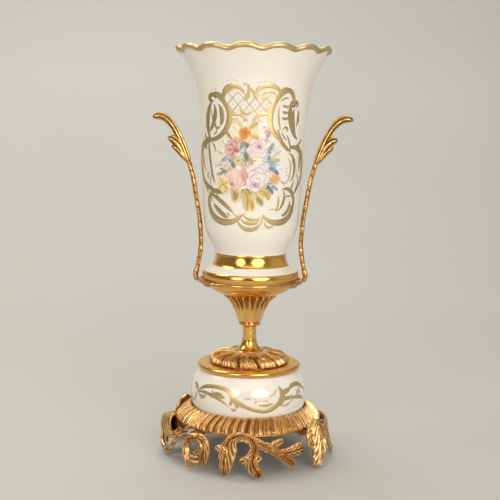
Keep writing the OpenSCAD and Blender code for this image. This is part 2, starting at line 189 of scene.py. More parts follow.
class Shape:
    """Collects closed surfaces, with one value per point by which the materials darken them: patina
    and painted shade where a point lies deep in the relief, and painted shade set on its own
    elsewhere.
    """

    def __init__(self):
        self.points = []
        self.faces = []
        self.depth = []
        self.count = 0

    def add(self, points, faces, depth):
        points = np.asarray(points, float).reshape(-1, 3)
        faces = [tuple(int(i) + self.count for i in f) for f in faces]
        if signed_volume(points, faces, self.count) < 0:
            faces = [f[::-1] for f in faces]
        self.points.append(points)
        self.faces.extend(faces)
        self.depth.append(np.broadcast_to(depth, (len(points),)).astype(float))
        self.count += len(points)

    def tube(self, rings, depth):
        """Closed skin over a row of rings, with a flat cap at each end."""
        rows, cols = rings.shape[:2]
        faces = [tuple(f) for f in grid_faces(rows, cols, False, True)]
        faces.append(tuple(range(cols))[::-1])
        faces.append(tuple(range((rows - 1) * cols, rows * cols)))
        self.add(rings, faces, np.asarray(depth, float).reshape(-1))

    def piece(self, name, look, slot, stands_for=(), sharp=50, paint=None):
        mesh = bpy.data.meshes.new(name)
        mesh.from_pydata((np.vstack(self.points) * MM).tolist(), [], self.faces)
        mesh.polygons.foreach_set("use_smooth", np.ones(len(mesh.polygons), bool))
        mesh.set_sharp_from_angle(angle=math.radians(sharp))
        depth = mesh.attributes.new("depth", "FLOAT", "POINT")
        depth.data.foreach_set("value", np.concatenate(self.depth))
        if paint is not None:
            colours = mesh.color_attributes.new("paint", "FLOAT_COLOR", "POINT")
            colours.data.foreach_set("color", np.clip(paint, 0, 1).reshape(-1))
        mesh.materials.append(look)
        mesh.update()
        piece = bpy.data.objects.new(name, mesh)
        bpy.context.scene.collection.objects.link(piece)
        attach(piece, "root")
        if stands_for:
            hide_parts(*stands_for)
        return piece


def signed_volume(points, faces, offset):
    """About six times the volume inside the faces, and below 0 where they are wound inwards."""
    quads = np.array([f[:4] if len(f) > 3 else (*f, f[2]) for f in faces]) - offset
    a, b, c, d = (points[quads[:, k]] for k in range(4))
    return (np.cross(b - a, c - a) * a).sum() + (np.cross(c - a, d - a) * a).sum()


def around(radius, angle, z):
    """Points from radius, angle from the front and height."""
    turn = np.radians(angle)
    return np.stack(np.broadcast_arrays(radius * np.sin(turn), -radius * np.cos(turn), z), -1)


def circle(count):
    """Angles in radians of points spread evenly round a section."""
    return np.arange(count) * TAU / count


def lathe(shape, outline, columns=256, relief=None, angles=None):
    """Turns a closed outline round the axis. relief(angle, r, z) gives the radius and height
    to add, and how deep each point lies."""
    angles = np.arange(columns) * 360 / columns if angles is None else angles
    r = np.repeat(outline[:, :1], len(angles), 1)
    z = np.repeat(outline[:, 1:2], len(angles), 1)
    depth = np.zeros_like(r)
    if relief is not None:
        dr, dz, depth = relief(angles[None, :], r, z)
        r, z = r + dr, z + dz
    shape.add(around(r, angles[None, :], z), grid_faces(*r.shape, True, True), depth.reshape(-1))


# ---- Materials ----

class Look:
    """A node material under construction, with short calls for the nodes that it uses."""

    def __init__(self, name):
        self.material = bpy.data.materials.new(name)
        self.material.use_nodes = True
        self.tree = self.material.node_tree
        self.shader = self.tree.nodes["Principled BSDF"]

    def node(self, kind, **settings):
        node = self.tree.nodes.new(kind)
        for key, value in settings.items():
            setattr(node, key, value)
        return node

    def join(self, source, target):
        self.tree.links.new(source, target)

    def set(self, **values):
        for key, value in values.items():
            self.shader.inputs[key.replace("_", " ")].default_value = value

    def noise(self, scale, detail=3, roughness=0.55, stretch=(1, 1, 1)):
        place = self.node("ShaderNodeTexCoord")
        mapping = self.node("ShaderNodeMapping")
        mapping.inputs["Scale"].default_value = stretch
        noise = self.node("ShaderNodeTexNoise")
        noise.inputs["Scale"].default_value = scale
        noise.inputs["Detail"].default_value = detail
        noise.inputs["Roughness"].default_value = roughness
        self.join(place.outputs["Object"], mapping.inputs["Vector"])
        self.join(mapping.outputs["Vector"], noise.inputs["Vector"])
        return noise.outputs["Fac"]

    # Value by which a material darkens: patina, and painted shade.
    def depth(self):
        return self.node("ShaderNodeAttribute", attribute_name="depth").outputs["Fac"]

    def math(self, operation, a, b):
        node = self.node("ShaderNodeMath", operation=operation)
        for socket, value in zip(node.inputs, (a, b)):
            if isinstance(value, (int, float)):
                socket.default_value = value
            else:
                self.join(value, socket)
        return node.outputs["Value"]

    def ranged(self, value, low_in, high_in, low_out, high_out):
        node = self.node("ShaderNodeMapRange")
        self.join(value, node.inputs["Value"])
        names = ("From Min", "From Max", "To Min", "To Max")
        for key, number in zip(names, (low_in, high_in, low_out, high_out)):
            node.inputs[key].default_value = number
        return node.outputs["Result"]

    def ramp(self, value, *stops):
        node = self.node("ShaderNodeValToRGB")
        elements = node.color_ramp.elements
        while len(elements) < len(stops):
            elements.new(0.5)
        for element, (place, colour) in zip(elements, stops):
            element.position = place
            element.color = (*colour, 1)
        self.join(value, node.inputs["Fac"])
        return node.outputs["Color"]

    def tint(self, scale, detail, dark, light):
        """Colour that wanders between two tints."""
        return self.ramp(self.noise(scale, detail), (0.3, dark), (0.7, light))

    def mix(self, factor, a, b):
        node = self.node("ShaderNodeMix", data_type="RGBA")
        self.join(factor, node.inputs["Factor"])
        colours = [s for s in node.inputs if s.type == "RGBA"]
        for socket, value in zip(colours, (a, b)):
            if isinstance(value, tuple):
                socket.default_value = (*value, 1)
            else:
                self.join(value, socket)
        return [s for s in node.outputs if s.type == "RGBA"][0]

    def bump(self, height, strength, distance):
        node = self.node("ShaderNodeBump")
        node.inputs["Strength"].default_value = strength
        node.inputs["Distance"].default_value = distance * MM
        self.join(height, node.inputs["Height"])
        self.join(node.outputs["Normal"], self.shader.inputs["Normal"])

    def feed(self, source, name):
        self.join(source, self.shader.inputs[name])

    def rough(self, scale, detail, smooth, dull):
        """Roughness that wanders between two values."""
        self.feed(self.ranged(self.noise(scale, detail), 0.3, 0.7, smooth, dull), "Roughness")


def porcelain_look(name, painted):
    look = Look(name)
    glaze = look.tint(14, 2, (0.85, 0.80, 0.71), (0.87, 0.83, 0.75))
    if painted:
        paint = look.node("ShaderNodeAttribute", attribute_name="paint")
        glaze = look.mix(paint.outputs["Alpha"], glaze, paint.outputs["Color"])
    look.feed(glaze, "Base Color")
    look.rough(30, 2, 0.07, 0.13)
    look.bump(look.noise(90, 2), 0.05, 0.5)
    look.set(Subsurface_Weight=0.12, Subsurface_Radius=(1.0, 0.6, 0.4), Subsurface_Scale=0.003)
    look.set(IOR=1.5, Coat_Weight=0.5, Coat_Roughness=0.04)
    return look.material


def gilding_look():
    """Burnished gold leaf on the glaze, thin at the edges of a stroke and browned there with painted
    shade.
    """
    look = Look("gilding")
    wear_and_shade = look.math("ADD", look.depth(), look.ranged(look.noise(160, 3), 0.3, 0.7, -0.15, 0.15))
    colour = look.ramp(wear_and_shade, (0.1, (0.74, 0.55, 0.27)), (0.5, (0.57, 0.395, 0.165)),
                       (0.9, (0.28, 0.17, 0.055)))
    look.feed(colour, "Base Color")
    look.rough(220, 3, 0.36, 0.46)
    look.bump(look.noise(500, 3), 0.12, 0.3)
    look.set(Metallic=1.0)
    return look.material


def polished_look():
    look = Look("polished_brass")
    tint = look.tint(25, 3, (0.82, 0.435, 0.095), (0.86, 0.495, 0.13))
    tarnish = look.math("ADD", look.depth(), look.ranged(look.noise(60, 4), 0.4, 0.8, -0.05, 0.1))
    look.feed(look.mix(look.ranged(tarnish, 0.1, 1, 0, 1), tint, (0.34, 0.17, 0.045)),
              "Base Color")
    look.feed(look.ranged(look.noise(70, 4), 0.3, 0.75, 0.14, 0.22), "Roughness")
    look.bump(look.noise(45, 2), 0.06, 0.6)
    look.set(Metallic=1.0)
    return look.material


def satin_look(name, roughness, fine=(1, 1, 30)):
    """Turned brass left with its fine lathe lines."""
    look = Look(name)
    look.feed(look.tint(30, 3, (0.82, 0.49, 0.14), (0.87, 0.55, 0.18)), "Base Color")
    lines = look.noise(60, 3, stretch=fine)
    look.feed(look.ranged(lines, 0.3, 0.7, roughness, roughness + 0.1), "Roughness")
    look.bump(lines, 0.05, 0.15)
    look.set(Metallic=1.0)
    return look.material


def cast_look(name, smooth, rough, *stops):
    """Cast and gilt brass: bright on the ridges, brown lacquer and painted shade in the hollows."""
    look = Look(name)
    grime = look.ranged(look.noise(110, 5, 0.65), 0.25, 0.75, -0.2, 0.2)
    wear_and_shade = look.math("ADD", look.depth(), grime)
    look.feed(look.ramp(wear_and_shade, *stops), "Base Color")
    look.feed(look.ranged(wear_and_shade, 0.1, 0.9, smooth, rough), "Roughness")
    look.feed(look.ranged(wear_and_shade, 0.4, 1.0, 0.98, 0.6), "Metallic")
    grain = look.math("ADD", look.noise(260, 4, 0.6), look.noise(900, 2))
    look.bump(grain, 0.3, 0.3)
    return look.material


def steel_look():
    look = Look("zinc_steel")
    look.feed(look.tint(120, 4, (0.42, 0.43, 0.44), (0.56, 0.57, 0.57)), "Base Color")
    look.rough(200, 3, 0.3, 0.48)
    look.bump(look.noise(400, 3), 0.15, 0.2)
    look.set(Metallic=1.0)
    return look.material


def felt_look():
    look = Look("felt")
    tint = look.ramp(look.noise(900, 5, 0.7), (0.3, (0.045, 0.04, 0.034)), (0.7, (0.12, 0.11, 0.10)))
    look.feed(tint, "Base Color")
    look.bump(look.noise(1500, 4), 0.8, 0.4)
    look.set(Roughness=0.95, Sheen_Weight=0.4)
    return look.material


def cork_look():
    look = Look("cork")
    tint = look.ramp(look.noise(500, 5, 0.7), (0.3, (0.22, 0.12, 0.05)), (0.65, (0.52, 0.35, 0.19)))
    look.feed(tint, "Base Color")
    look.bump(look.noise(900, 4), 0.6, 0.3)
    look.set(Roughness=0.85)
    return look.material


body_glaze = porcelain_look("painted_porcelain", True)
plain_glaze = porcelain_look("porcelain", False)
gilding = gilding_look()
polished = polished_look()
satin = satin_look("satin_brass", 0.2)
plate_satin = satin_look("plate_brass", 0.3, (30, 30, 1))
antique = cast_look("antique_brass", 0.33, 0.6, (0.06, (0.93, 0.65, 0.32)),
                    (0.32, (0.68, 0.37, 0.12)), (0.62, (0.37, 0.17, 0.048)),
                    (0.95, (0.12, 0.052, 0.016)))
gilt = cast_look("gilt_brass", 0.18, 0.44, (0.08, (0.86, 0.56, 0.21)), (0.38, (0.70, 0.385, 0.11)),
                 (0.68, (0.40, 0.19, 0.05)), (1.0, (0.12, 0.05, 0.014)))
steel = steel_look()
felt = felt_look()
cork = cork_look()


# ---- Porcelain body ----

def valley(angle):
    """1 in the dips between the rim's lobes, 0 over their crests."""
    wave = 0.5 + 0.5 * np.cos(np.radians((angle - VALLEY) * LOBES))
    return wave ** 1.7


def rim_relief(angle, r, z):
    """Scallops of the rim, which also pull the wall in between the lobes."""
    rise = smoothstep(BODY_TOP - 46, BODY_TOP, z)
    dip = valley(angle)
    return -RIM_PULL * dip * rise ** 2, -RIM_DIP * dip * rise, np.zeros_like(r)


def body_columns():
    """Angles of the body's columns, close together where the flowers are painted."""
    fine = np.linspace(-50, 50, 190)
    coarse = np.linspace(50, 130, 46)[1:-1]
    return np.concatenate([fine, coarse, fine + 180, coarse + 180])


def body_rows():
    """Heights of the outside, close together where the flowers are painted."""
    return np.concatenate([np.arange(BODY_LOW + 0.6, BODY_LOW + 36, 0.8),
                           np.arange(BODY_LOW + 36, PAINTED_LOW, 2.4),
                           np.arange(PAINTED_LOW, PAINTED_TOP, 0.55),
                           np.arange(PAINTED_TOP, BODY_TOP - 4, 2.2)])


def body_outline():
    rows = body_rows()
    outside = np.stack([body_side(rows), rows], 1)
    rim_r = reach("vase_body")
    lip = [(rim_r - 1.6, BODY_TOP - 3.4), (rim_r - 1.9, BODY_TOP - 1.6),
           (rim_r - 3.2, BODY_TOP - 0.8), (rim_r - 4.8, BODY_TOP - 1.4),
           (rim_r - 5.8, BODY_TOP - 3)]
    inner_rows = np.arange(BODY_TOP - 7, BODY_LOW + 56, -3)
    inside = np.stack([body_side(inner_rows) - WALL, inner_rows], 1)
    floor_z = high("top_pad") - 2
    floor = smooth_path([(49, BODY_LOW + 52), (42.5, BODY_LOW + 46.5), (34, BODY_LOW + 41),
                         (22, floor_z)], 6)
    hole = [(6.5, floor_z), (6.5, BODY_LOW + 29)]
    hollow = smooth_path([(30, BODY_LOW + 29), (37, BODY_LOW + 25), (39.5, BODY_LOW + 20),
                          (45, BODY_LOW + 14), (53, BODY_LOW + 7), (53.5, BODY_LOW)], 5)
    sole = [(body_side(BODY_LOW) - 0.8, BODY_LOW)]
    return np.vstack([outside, lip, inside, floor, hole, hollow, sole])


# ---- Enamel painting ----

def heading(degrees):
    """Cosine and sine of an angle in degrees."""
    return math.cos(math.radians(degrees)), math.sin(math.radians(degrees))


class Painter:
    """Paints soft strokes on points given by their place across and up the surface."""

    def __init__(self, across, up):
        self.u = across
        self.v = up
        self.colour = np.zeros((len(across), 3))
        self.cover = np.zeros(len(across))

    def lay(self, mask, colour, strength):
        amount = np.clip(mask, 0, 1) * strength
        total = amount + self.cover * (1 - amount)
        share = np.divide(amount, total, out=np.zeros_like(total), where=total > 1e-6)
        self.colour += (np.array(colour) - self.colour) * share[:, None]
        self.cover = total

    def dab(self, u, v, long, wide, angle, colour, strength, soft=0.35):
        """Oval dab, long along its angle from level. soft is how wide its edge fades."""
        c, s = heading(angle)
        du, dv = self.u - u, self.v - v
        far = np.hypot((du * c + dv * s) / long, (dv * c - du * s) / wide)
        self.lay(1 - smoothstep(1 - soft, 1 + soft * 0.4, far), colour, strength)

    def stroke(self, points, width, colour, strength):
        """Brush line that thins out towards both ends."""
        path = smooth_path(points, 6)
        best = np.full(len(self.u), 1e9)
        steps = len(path) - 1
        for k, (a, b) in enumerate(zip(path, path[1:])):
            leg = b - a
            length = max(float(leg @ leg), 1e-9)
            t = np.clip(((self.u - a[0]) * leg[0] + (self.v - a[1]) * leg[1]) / length, 0, 1)
            share = (k + t) / steps
            half = width / 2 * (0.35 + 0.65 * np.sin(np.pi * share))
            gap = np.hypot(self.u - a[0] - t * leg[0], self.v - a[1] - t * leg[1]) / half
            best = np.minimum(best, gap)
        self.lay(1 - smoothstep(0.6, 1.3, best), colour, strength)

    def petals(self, u, v, count, far, long, wide, start, colours, strength):
        """Ring of petals round a centre, each one dab with a thin darker edge."""
        light, dark = colours
        for k in range(count):
            angle = start + 360 * k / count
            c, s = heading(angle)
            pu, pv = u + far * c, v + far * s
            self.dab(pu, pv, long, wide, angle, dark, strength * 0.55, 0.25)
            self.dab(pu - 0.3 * c, pv - 0.3 * s, long * 0.86, wide * 0.82, angle, light, strength)

    def rose(self, u, v, size, light, shade, heart, turn, heart_at):
        """Full-blown rose: ruffled petals round a smooth pale bowl, with a tight heart set off
        to one side."""
        dark = tuple(0.5 * a + 0.5 * b for a, b in zip(shade, heart))
        hu, hv = u + heart_at[0] * size, v + heart_at[1] * size
        for k in range(9):
            angle = turn + 40 * k + 15 * math.sin(1.9 * k + turn)
            far = size * (0.60 + 0.13 * math.sin(2.7 * k + turn))
            wide = size * (0.38 + 0.08 * math.sin(3.1 * k))
            c, s = heading(angle)
            pu, pv = u + far * c, v + far * s
            self.dab(pu, pv, wide * 0.84, wide, angle, dark, 0.6, 0.2)
            self.dab(pu - 0.04 * size * c, pv - 0.04 * size * s, wide * 0.76, wide * 0.9, angle,
                     light, 0.92, 0.25)
            self.dab(pu - 0.2 * size * c, pv - 0.2 * size * s, wide * 0.5, wide * 0.8, angle,
                     shade, 0.6, 0.8)
        self.dab(u, v, size * 0.62, size * 0.6, turn, dark, 0.45, 0.15)
        self.dab(u, v, size * 0.58, size * 0.56, turn, light, 0.95, 0.2)
        for k in range(5):
            share = (k + 1) / 6
            cu, cv = u + (hu - u) * share, v + (hv - v) * share
            far = size * (0.52 - 0.08 * k)
            angles = np.radians(turn + 137 * k + np.array([0, 36, 72, 108, 144]))
            for pull, width, colour, strength in ((0.84, 0.2, shade, 0.3), (1, 0.055, dark, 0.6)):
                line = np.stack([cu + far * pull * np.cos(angles),
                                 cv + far * pull * np.sin(angles)], 1)
                self.stroke(line, width * size, colour, strength)
        self.dab(hu, hv, size * 0.24, size * 0.18, turn, shade, 0.75, 0.7)
        self.dab(hu, hv, size * 0.13, size * 0.09, turn, heart, 0.85)
        for k in range(3):
            angles = np.radians(turn + 115 * k + np.array([0, 35, 70, 105]))
            bow_r = size * (0.15 + 0.06 * k)
            line = np.stack([hu + bow_r * np.cos(angles), hv + bow_r * np.sin(angles)], 1)
            self.stroke(line, size * 0.06, heart, 0.55)

    def leaf(self, u, v, length, width, angle, fill, vein):
        c, s = heading(angle)
        tip = (u + length * c, v + length * s)
        middle = ((u + tip[0]) / 2 - width * 0.18 * s, (v + tip[1]) / 2 + width * 0.18 * c)
        self.stroke([(u, v), middle, tip], width * 1.2, vein, 0.5)
        self.stroke([(u, v), middle, tip], width * 0.95, fill, 0.85)
        self.stroke([(u, v), middle, tip], width * 0.16, vein, 0.8)
        for t in (0.35, 0.6):
            a = (u + length * t * c, v + length * t * s)
            for turn in (38, -38):
                c2, s2 = heading(angle + turn)
                b = (a[0] + width * 0.4 * c2, a[1] + width * 0.4 * s2)
                self.stroke([a, b], width * 0.1, vein, 0.55)

    def result(self):
        return np.hstack([self.colour, self.cover[:, None]])


IVORY_WASH = (0.93, 0.85, 0.62)
YELLOW = (0.80, 0.52, 0.12)
PALE_YELLOW = (0.86, 0.70, 0.34)
ORANGE = (0.72, 0.22, 0.06)
RUST = (0.36, 0.09, 0.03)
PINK = (0.66, 0.28, 0.27)
BLUSH = (0.80, 0.48, 0.42)
CREAM_PINK = (0.88, 0.68, 0.58)
CRIMSON = (0.46, 0.06, 0.10)
MAUVE = (0.44, 0.20, 0.28)
LILAC = (0.72, 0.50, 0.56)
PLUM = (0.17, 0.04, 0.12)
BLUE = (0.12, 0.20, 0.38)
INK = (0.05, 0.08, 0.16)
SKY = (0.30, 0.42, 0.56)
PALE_SKY = (0.55, 0.64, 0.70)
TEAL = (0.16, 0.26, 0.26)
GREEN = (0.16, 0.18, 0.06)
LEAF = (0.36, 0.35, 0.12)
OLIVE = (0.32, 0.21, 0.06)
WHITE = (0.90, 0.82, 0.78)
BROWN = (0.28, 0.15, 0.06)

# Clumps of small leaves: middle, half width, half height, tints and number of strokes
CLUMPS = [(-9, 24, 9, 6, (YELLOW, PALE_YELLOW, ORANGE, OLIVE), 26),
          (-17, 24, 6, 8, (YELLOW, LEAF, BROWN, PALE_YELLOW), 20),
          (-10, 14, 5, 9, (BLUE, LEAF, TEAL, SKY, OLIVE), 26),
          (-26, 1, 9, 5, (SKY, BLUE, LEAF, PALE_SKY), 22),
          (-7, -3, 10, 6, (BLUE, GREEN, LEAF, SKY, OLIVE), 34),
          (17, 1, 6, 11, (SKY, PALE_SKY, BLUE, INK), 30),
          (22, -9, 7, 7, (BLUE, SKY, PALE_SKY, LEAF), 24),
          (-31, -12, 7, 6, (BLUE, YELLOW, SKY, OLIVE), 20),
          (20, -31, 7, 9, (BLUE, INK, LEAF, SKY), 28),
          (-8, -39, 15, 5, (BLUE, GREEN, OLIVE, YELLOW), 30),
          (25, 12, 9, 10, (PALE_YELLOW, PALE_SKY, IVORY_WASH), 18),
          (-34, 12, 7, 12, (PALE_YELLOW, IVORY_WASH, LEAF), 16)]


def under_wash(p):
    """Pale wash under the whole bunch."""
    for du, dv, size in ((-10, 32, 22), (-28, 10, 18), (20, 10, 20), (-24, -18, 18),
                         (4, -28, 24), (0, 0, 32), (-4, -46, 22)):
        p.dab(du, dv, size, size * 0.8, 20, IVORY_WASH, 0.45, 0.9)
    p.dab(2, -52, 24, 12, 0, (0.93, 0.80, 0.72), 0.4, 0.9)


def grasses(p):
    """Grasses and small leaves that fan out behind the flowers."""
    for k in range(34):
        angle = 96 + 10.6 * k
        c, s = heading(angle)
        start = (-3 + 16 * c, 2 + 18 * s)
        tip = (-3 + (34 + 7 * math.sin(k * 1.7)) * c, 2 + (38 + 6 * math.cos(k * 2.1)) * s)
        bend = ((start[0] + tip[0]) / 2 + 3 * s, (start[1] + tip[1]) / 2 - 3 * c)
        tint = (LEAF, PALE_YELLOW, SKY, OLIVE, YELLOW, PALE_YELLOW, BROWN)[k % 7]
        p.stroke([start, bend, tip], 1.0, tint, 0.42)
        p.dab(tip[0], tip[1], 2.4, 1.1, angle + 30, tint, 0.4)
        p.dab(bend[0], bend[1], 3.2, 1.2, angle + 55, (PALE_YELLOW, SKY, YELLOW)[k % 3], 0.42)


def gap_leaves(p):
    """Deeper leaves in the gaps between the flowers."""
    for leaf in (
            (-6, 27, 12, 5, 150, YELLOW, OLIVE), (-4, 35, 12, 5, 40, YELLOW, OLIVE),
            (-12, 37, 12, 5, 120, PALE_YELLOW, OLIVE), (-12, 27, 14, 6, -150, YELLOW, OLIVE),
            (-3, 28, 10, 5, -20, YELLOW, OLIVE), (-24, 24, 12, 4, 125, LEAF, OLIVE),
            (-9, 20, 10, 5, -60, BLUE, INK), (-12, 22, 9, 4, -100, SKY, BLUE),
            (-30, 4, 10, 4, 215, SKY, BLUE), (-27, 0, 12, 5, -60, TEAL, INK),
            (-34, 6, 11, 3, 160, PALE_YELLOW, OLIVE), (-36, -6, 12, 3, 185, PALE_YELLOW, BROWN),
            (-30, -14, 10, 4, 160, TEAL, BLUE), (-34, -14, 12, 4, 200, LEAF, OLIVE),
            (18, 4, 14, 6, -70, SKY, BLUE), (20, 8, 12, 5, 70, SKY, INK),
            (22, -4, 12, 5, 20, PALE_SKY, BLUE), (21, -10, 13, 5, -30, BLUE, INK),
            (24, 4, 12, 4, 35, PALE_SKY, SKY), (14, 22, 13, 3.5, 62, LEAF, GREEN),
            (20, 0, 14, 3, 5, PALE_YELLOW, OLIVE), (18, -30, 12, 4.5, -50, BLUE, INK),
            (16, -32, 14, 4.5, -68, SKY, BLUE), (24, -30, 9, 4, -35, SKY, BLUE),
            (-12, -36, 10, 5, -20, BLUE, INK), (-6, -34, 9, 4, -70, TEAL, INK),
            (-8, 8, 9, 5, -75, LEAF, GREEN), (-6, 0, 9, 5, 100, TEAL, GREEN)):
        p.leaf(*leaf)


def leaf_clumps(p):
    """Small strokes of leaf in clumps that close the bunch up."""
    for du, dv, far_u, far_v, tints, count in CLUMPS:
        for k in range(count):
            angle = 360 * k * 0.382 + 40 * du
            far = math.sqrt((k + 0.5) / count)
            cu = du + far_u * far * math.cos(math.radians(angle))
            cv = dv + far_v * far * math.sin(math.radians(angle))
            way = math.radians(angle + 50 * math.sin(k * 2.4))
            size = 2.1 + 0.9 * math.sin(k * 1.3 + du)
            start = (cu - size * math.cos(way), cv - size * math.sin(way))
            tip = (cu + size * math.cos(way), cv + size * math.sin(way))
            bend = (cu - 0.5 * math.sin(way), cv + 0.5 * math.cos(way))
            p.stroke([start, bend, tip], 1.5 + 0.5 * math.sin(k * 1.7), tints[k % len(tints)], 0.6)
            if k % 3 == 0:
                p.stroke([start, bend, tip], 0.5, tints[(k + 1) % len(tints)], 0.6)


def golden_leaves(p):
    """Golden leaves and stems under the bunch."""
    for leaf in (
            (-24, -34, 14, 9, -78, YELLOW, OLIVE), (-16, -36, 13, 8, -110, PALE_YELLOW, OLIVE),
            (-8, -36, 22, 11, -84, YELLOW, OLIVE), (3, -38, 17, 9, -60, PALE_YELLOW, OLIVE),
            (9, -36, 14, 9, -25, YELLOW, LEAF), (0, -44, 15, 7, -95, PALE_YELLOW, YELLOW),
            (-30, -32, 10, 6, -130, PALE_YELLOW, OLIVE), (-12, -40, 12, 6, -70, PALE_YELLOW, BROWN),
            (-20, -38, 9, 5, -95, LEAF, OLIVE), (14, -38, 11, 5, -50, YELLOW, BROWN),
            (-2, -46, 13, 5, -75, YELLOW, BROWN), (6, -45, 10, 5, -45, LEAF, OLIVE)):
        p.leaf(*leaf)
    for du, lean, tint in ((-2, -1, LEAF), (1, 0.5, OLIVE), (4, 3, LEAF), (-14, -5, PALE_YELLOW)):
        p.stroke([(du, -40), (du + lean, -50), (du + 1.4 * lean, -60)], 0.9, tint, 0.45)


def lilac_blossoms(p):
    """Lilac blossoms, above on the right."""
    p.stroke([(14, 18), (15, 28), (18, 39)], 0.7, OLIVE, 0.5)
    for k in range(8):
        du, dv = 15.5 + 2.6 * math.sin(k * 2.3 + 1), 22 + 2.3 * k
        p.petals(du, dv, 5, 1.3, 1.4, 1.1, 40 * k, ((WHITE, LILAC)[k % 2], MAUVE), 0.8)
        p.dab(du, dv, 0.8, 0.7, 0, (PLUM, INK)[k % 2], 0.75)


def orange_rose(p):
    """Orange-red rose in a golden haze."""
    p.dab(-9, 30, 15, 11, 0, (0.93, 0.74, 0.32), 0.5, 0.9)
    p.rose(-9, 31, 7.4, (0.80, 0.34, 0.12), ORANGE, RUST, 30, (0.05, 0.1))


def peony(p):
    """Pink peony on the left, its pointed petals fanned out from a maroon heart."""
    for far, long, colours in ((9.5, 6.4, (BLUSH, LILAC)), (5.6, 5.0, (CREAM_PINK, PINK))):
        for k in range(9):
            angle = 62 + 25 * k + 4 * math.sin(k * 2.6 + far)
            c, s = heading(angle)
            pu, pv = -19 + far * c, 12 + far * 0.95 * s
            p.dab(pu, pv, long, 2.3, angle, CRIMSON, 0.5, 0.3)
            p.dab(pu, pv, long * 0.9, 1.9, angle, colours[k % 2], 0.85, 0.4)
            p.stroke([(pu - 0.7 * long * c, pv - 0.7 * long * s),
                      (pu + 0.6 * long * c, pv + 0.6 * long * s)], 0.45, MAUVE, 0.5)
    p.dab(-18, 11, 4.2, 3.2, -30, CRIMSON, 0.75, 0.6)
    p.dab(-17, 10.4, 1.8, 1.4, 0, PLUM, 0.6, 0.6)


def back_rose(p):
    """Pale pink rose behind."""
    p.rose(5, 13, 13, WHITE, LILAC, CRIMSON, 40, (0.16, 0.2))
    p.dab(8, 15.6, 3.2, 1.6, -50, CRIMSON, 0.5, 0.6)
    p.dab(-1, 9, 4, 3, 30, LILAC, 0.4, 0.8)


def middle_flowers(p):
    """Yellow flower and rust bud in the middle."""
    p.petals(-16.5, -1, 6, 3.4, 3.2, 2.8, 0, (PALE_YELLOW, OLIVE), 0.85)
    p.dab(-16.5, -1, 1.8, 1.6, 0, OLIVE, 0.8)
    p.dab(-28, -6, 4, 2.8, 60, PALE_YELLOW, 0.7)
    p.stroke([(-3, 2), (-1, -3), (-3, -9)], 3.4, (0.80, 0.42, 0.22), 0.8)
    p.stroke([(-3, 2), (-0.4, -3), (-3, -9)], 0.9, RUST, 0.8)
    p.dab(-9, -9, 4.5, 3.2, 30, BLUSH, 0.8, 0.5)


def front_roses(p):
    """Two big roses in front, the pink one shaded crimson on its right."""
    p.rose(-19, -22, 14.5, CREAM_PINK, BLUSH, CRIMSON, 10, (-0.36, -0.45))
    p.dab(-10, -19, 4.2, 9.5, 8, PINK, 0.6, 0.7)
    p.stroke([(-9, -10), (-5.6, -19), (-9, -30)], 2.6, CRIMSON, 0.55)
    p.stroke([(-14, -12), (-10, -20), (-12, -29)], 1.2, CRIMSON, 0.35)
    p.dab(-22, -15, 6, 4, 20, WHITE, 0.5, 0.8)
    p.dab(8, -9, 11, 5, 5, LILAC, 0.75, 0.4)
    for k in range(4):
        p.dab(-1 + 6 * k, -8 + 1.6 * math.sin(k * 2.2), 4, 3.2, 30 * k, WHITE, 0.75, 0.5)
    p.rose(6, -23, 15, WHITE, LILAC, PLUM, 70, (-0.14, -0.36))
    p.dab(3.5, -30, 5, 3.6, 10, LILAC, 0.5, 0.7)
    for k in range(5):
        angle = math.radians(150 + 50 * k)
        p.stroke([(4 + 1.4 * math.cos(angle), -28.5 + 1.4 * math.sin(angle)),
                  (4 + 4.4 * math.cos(angle + 0.5), -28.5 + 4.4 * math.sin(angle + 0.5))],
                 0.8, MAUVE, 0.6)


def side_flowers(p):
    """Small flowers at the sides of the bunch."""
    for k in range(7):
        angle = 20 + 51 * k
        c, s = heading(angle)
        p.dab(-37 + 4.6 * c, -29 + 5 * s, 4.6, 2.8, angle, (YELLOW, PALE_YELLOW)[k % 2], 0.85)
        p.stroke([(-37, -29), (-37 + 8 * c, -29 + 8 * s)], 0.5, OLIVE, 0.5)
    p.dab(-37, -29, 2.2, 1.8, 0, (0.62, 0.30, 0.05), 0.6)
    p.petals(28, -22, 6, 4, 3.8, 3, 0, ((0.86, 0.42, 0.20), RUST), 0.8)
    p.dab(27, -21, 2, 1.6, 20, YELLOW, 0.8)
    p.dab(23, -17, 3.6, 2.4, 40, PALE_YELLOW, 0.7)
    p.stroke([(-40, -15), (-43, -19), (-46, -24)], 2.4, LILAC, 0.6)
    p.stroke([(-46, -2), (-40, -4), (-34, -3)], 1.0, BROWN, 0.5)


def bouquet(p):
    """Painted spray of roses as one full bunch 70 wide and 100 tall, drawn from back to front."""
    for part in (under_wash, grasses, gap_leaves, leaf_clumps, golden_leaves, lilac_blossoms,
                 orange_rose, peony, back_rose, middle_flowers, front_roses, side_flowers):
        part(p)


def paint_body(points):
    """Colour and cover of the painting at each point of the body's outside."""
    x, y, z = points.T
    radius = np.hypot(x, y)
    outside = (radius > body_side(z) - WALL * 0.6) & (z > BODY_LOW + 60)
    result = np.zeros((len(points), 4))
    for facing, shift in ((1, 0), (-1, 2)):
        chosen = outside & (y * facing < 0)
        across = np.arcsin(np.clip(x[chosen] * facing / radius[chosen], -1, 1))
        painter = Painter(across * BODY_UNROLL - shift, z[chosen] - FLOWERS_MIDDLE)
        bouquet(painter)
        result[chosen] = painter.result()
    return result


def build_body():
    shape = Shape()
    lathe(shape, body_outline(), angles=body_columns(), relief=rim_relief)
    paint = paint_body(np.vstack(shape.points))
    shape.piece("body_porcelain", body_glaze, "porcelain", ("vase_body",), paint=paint)


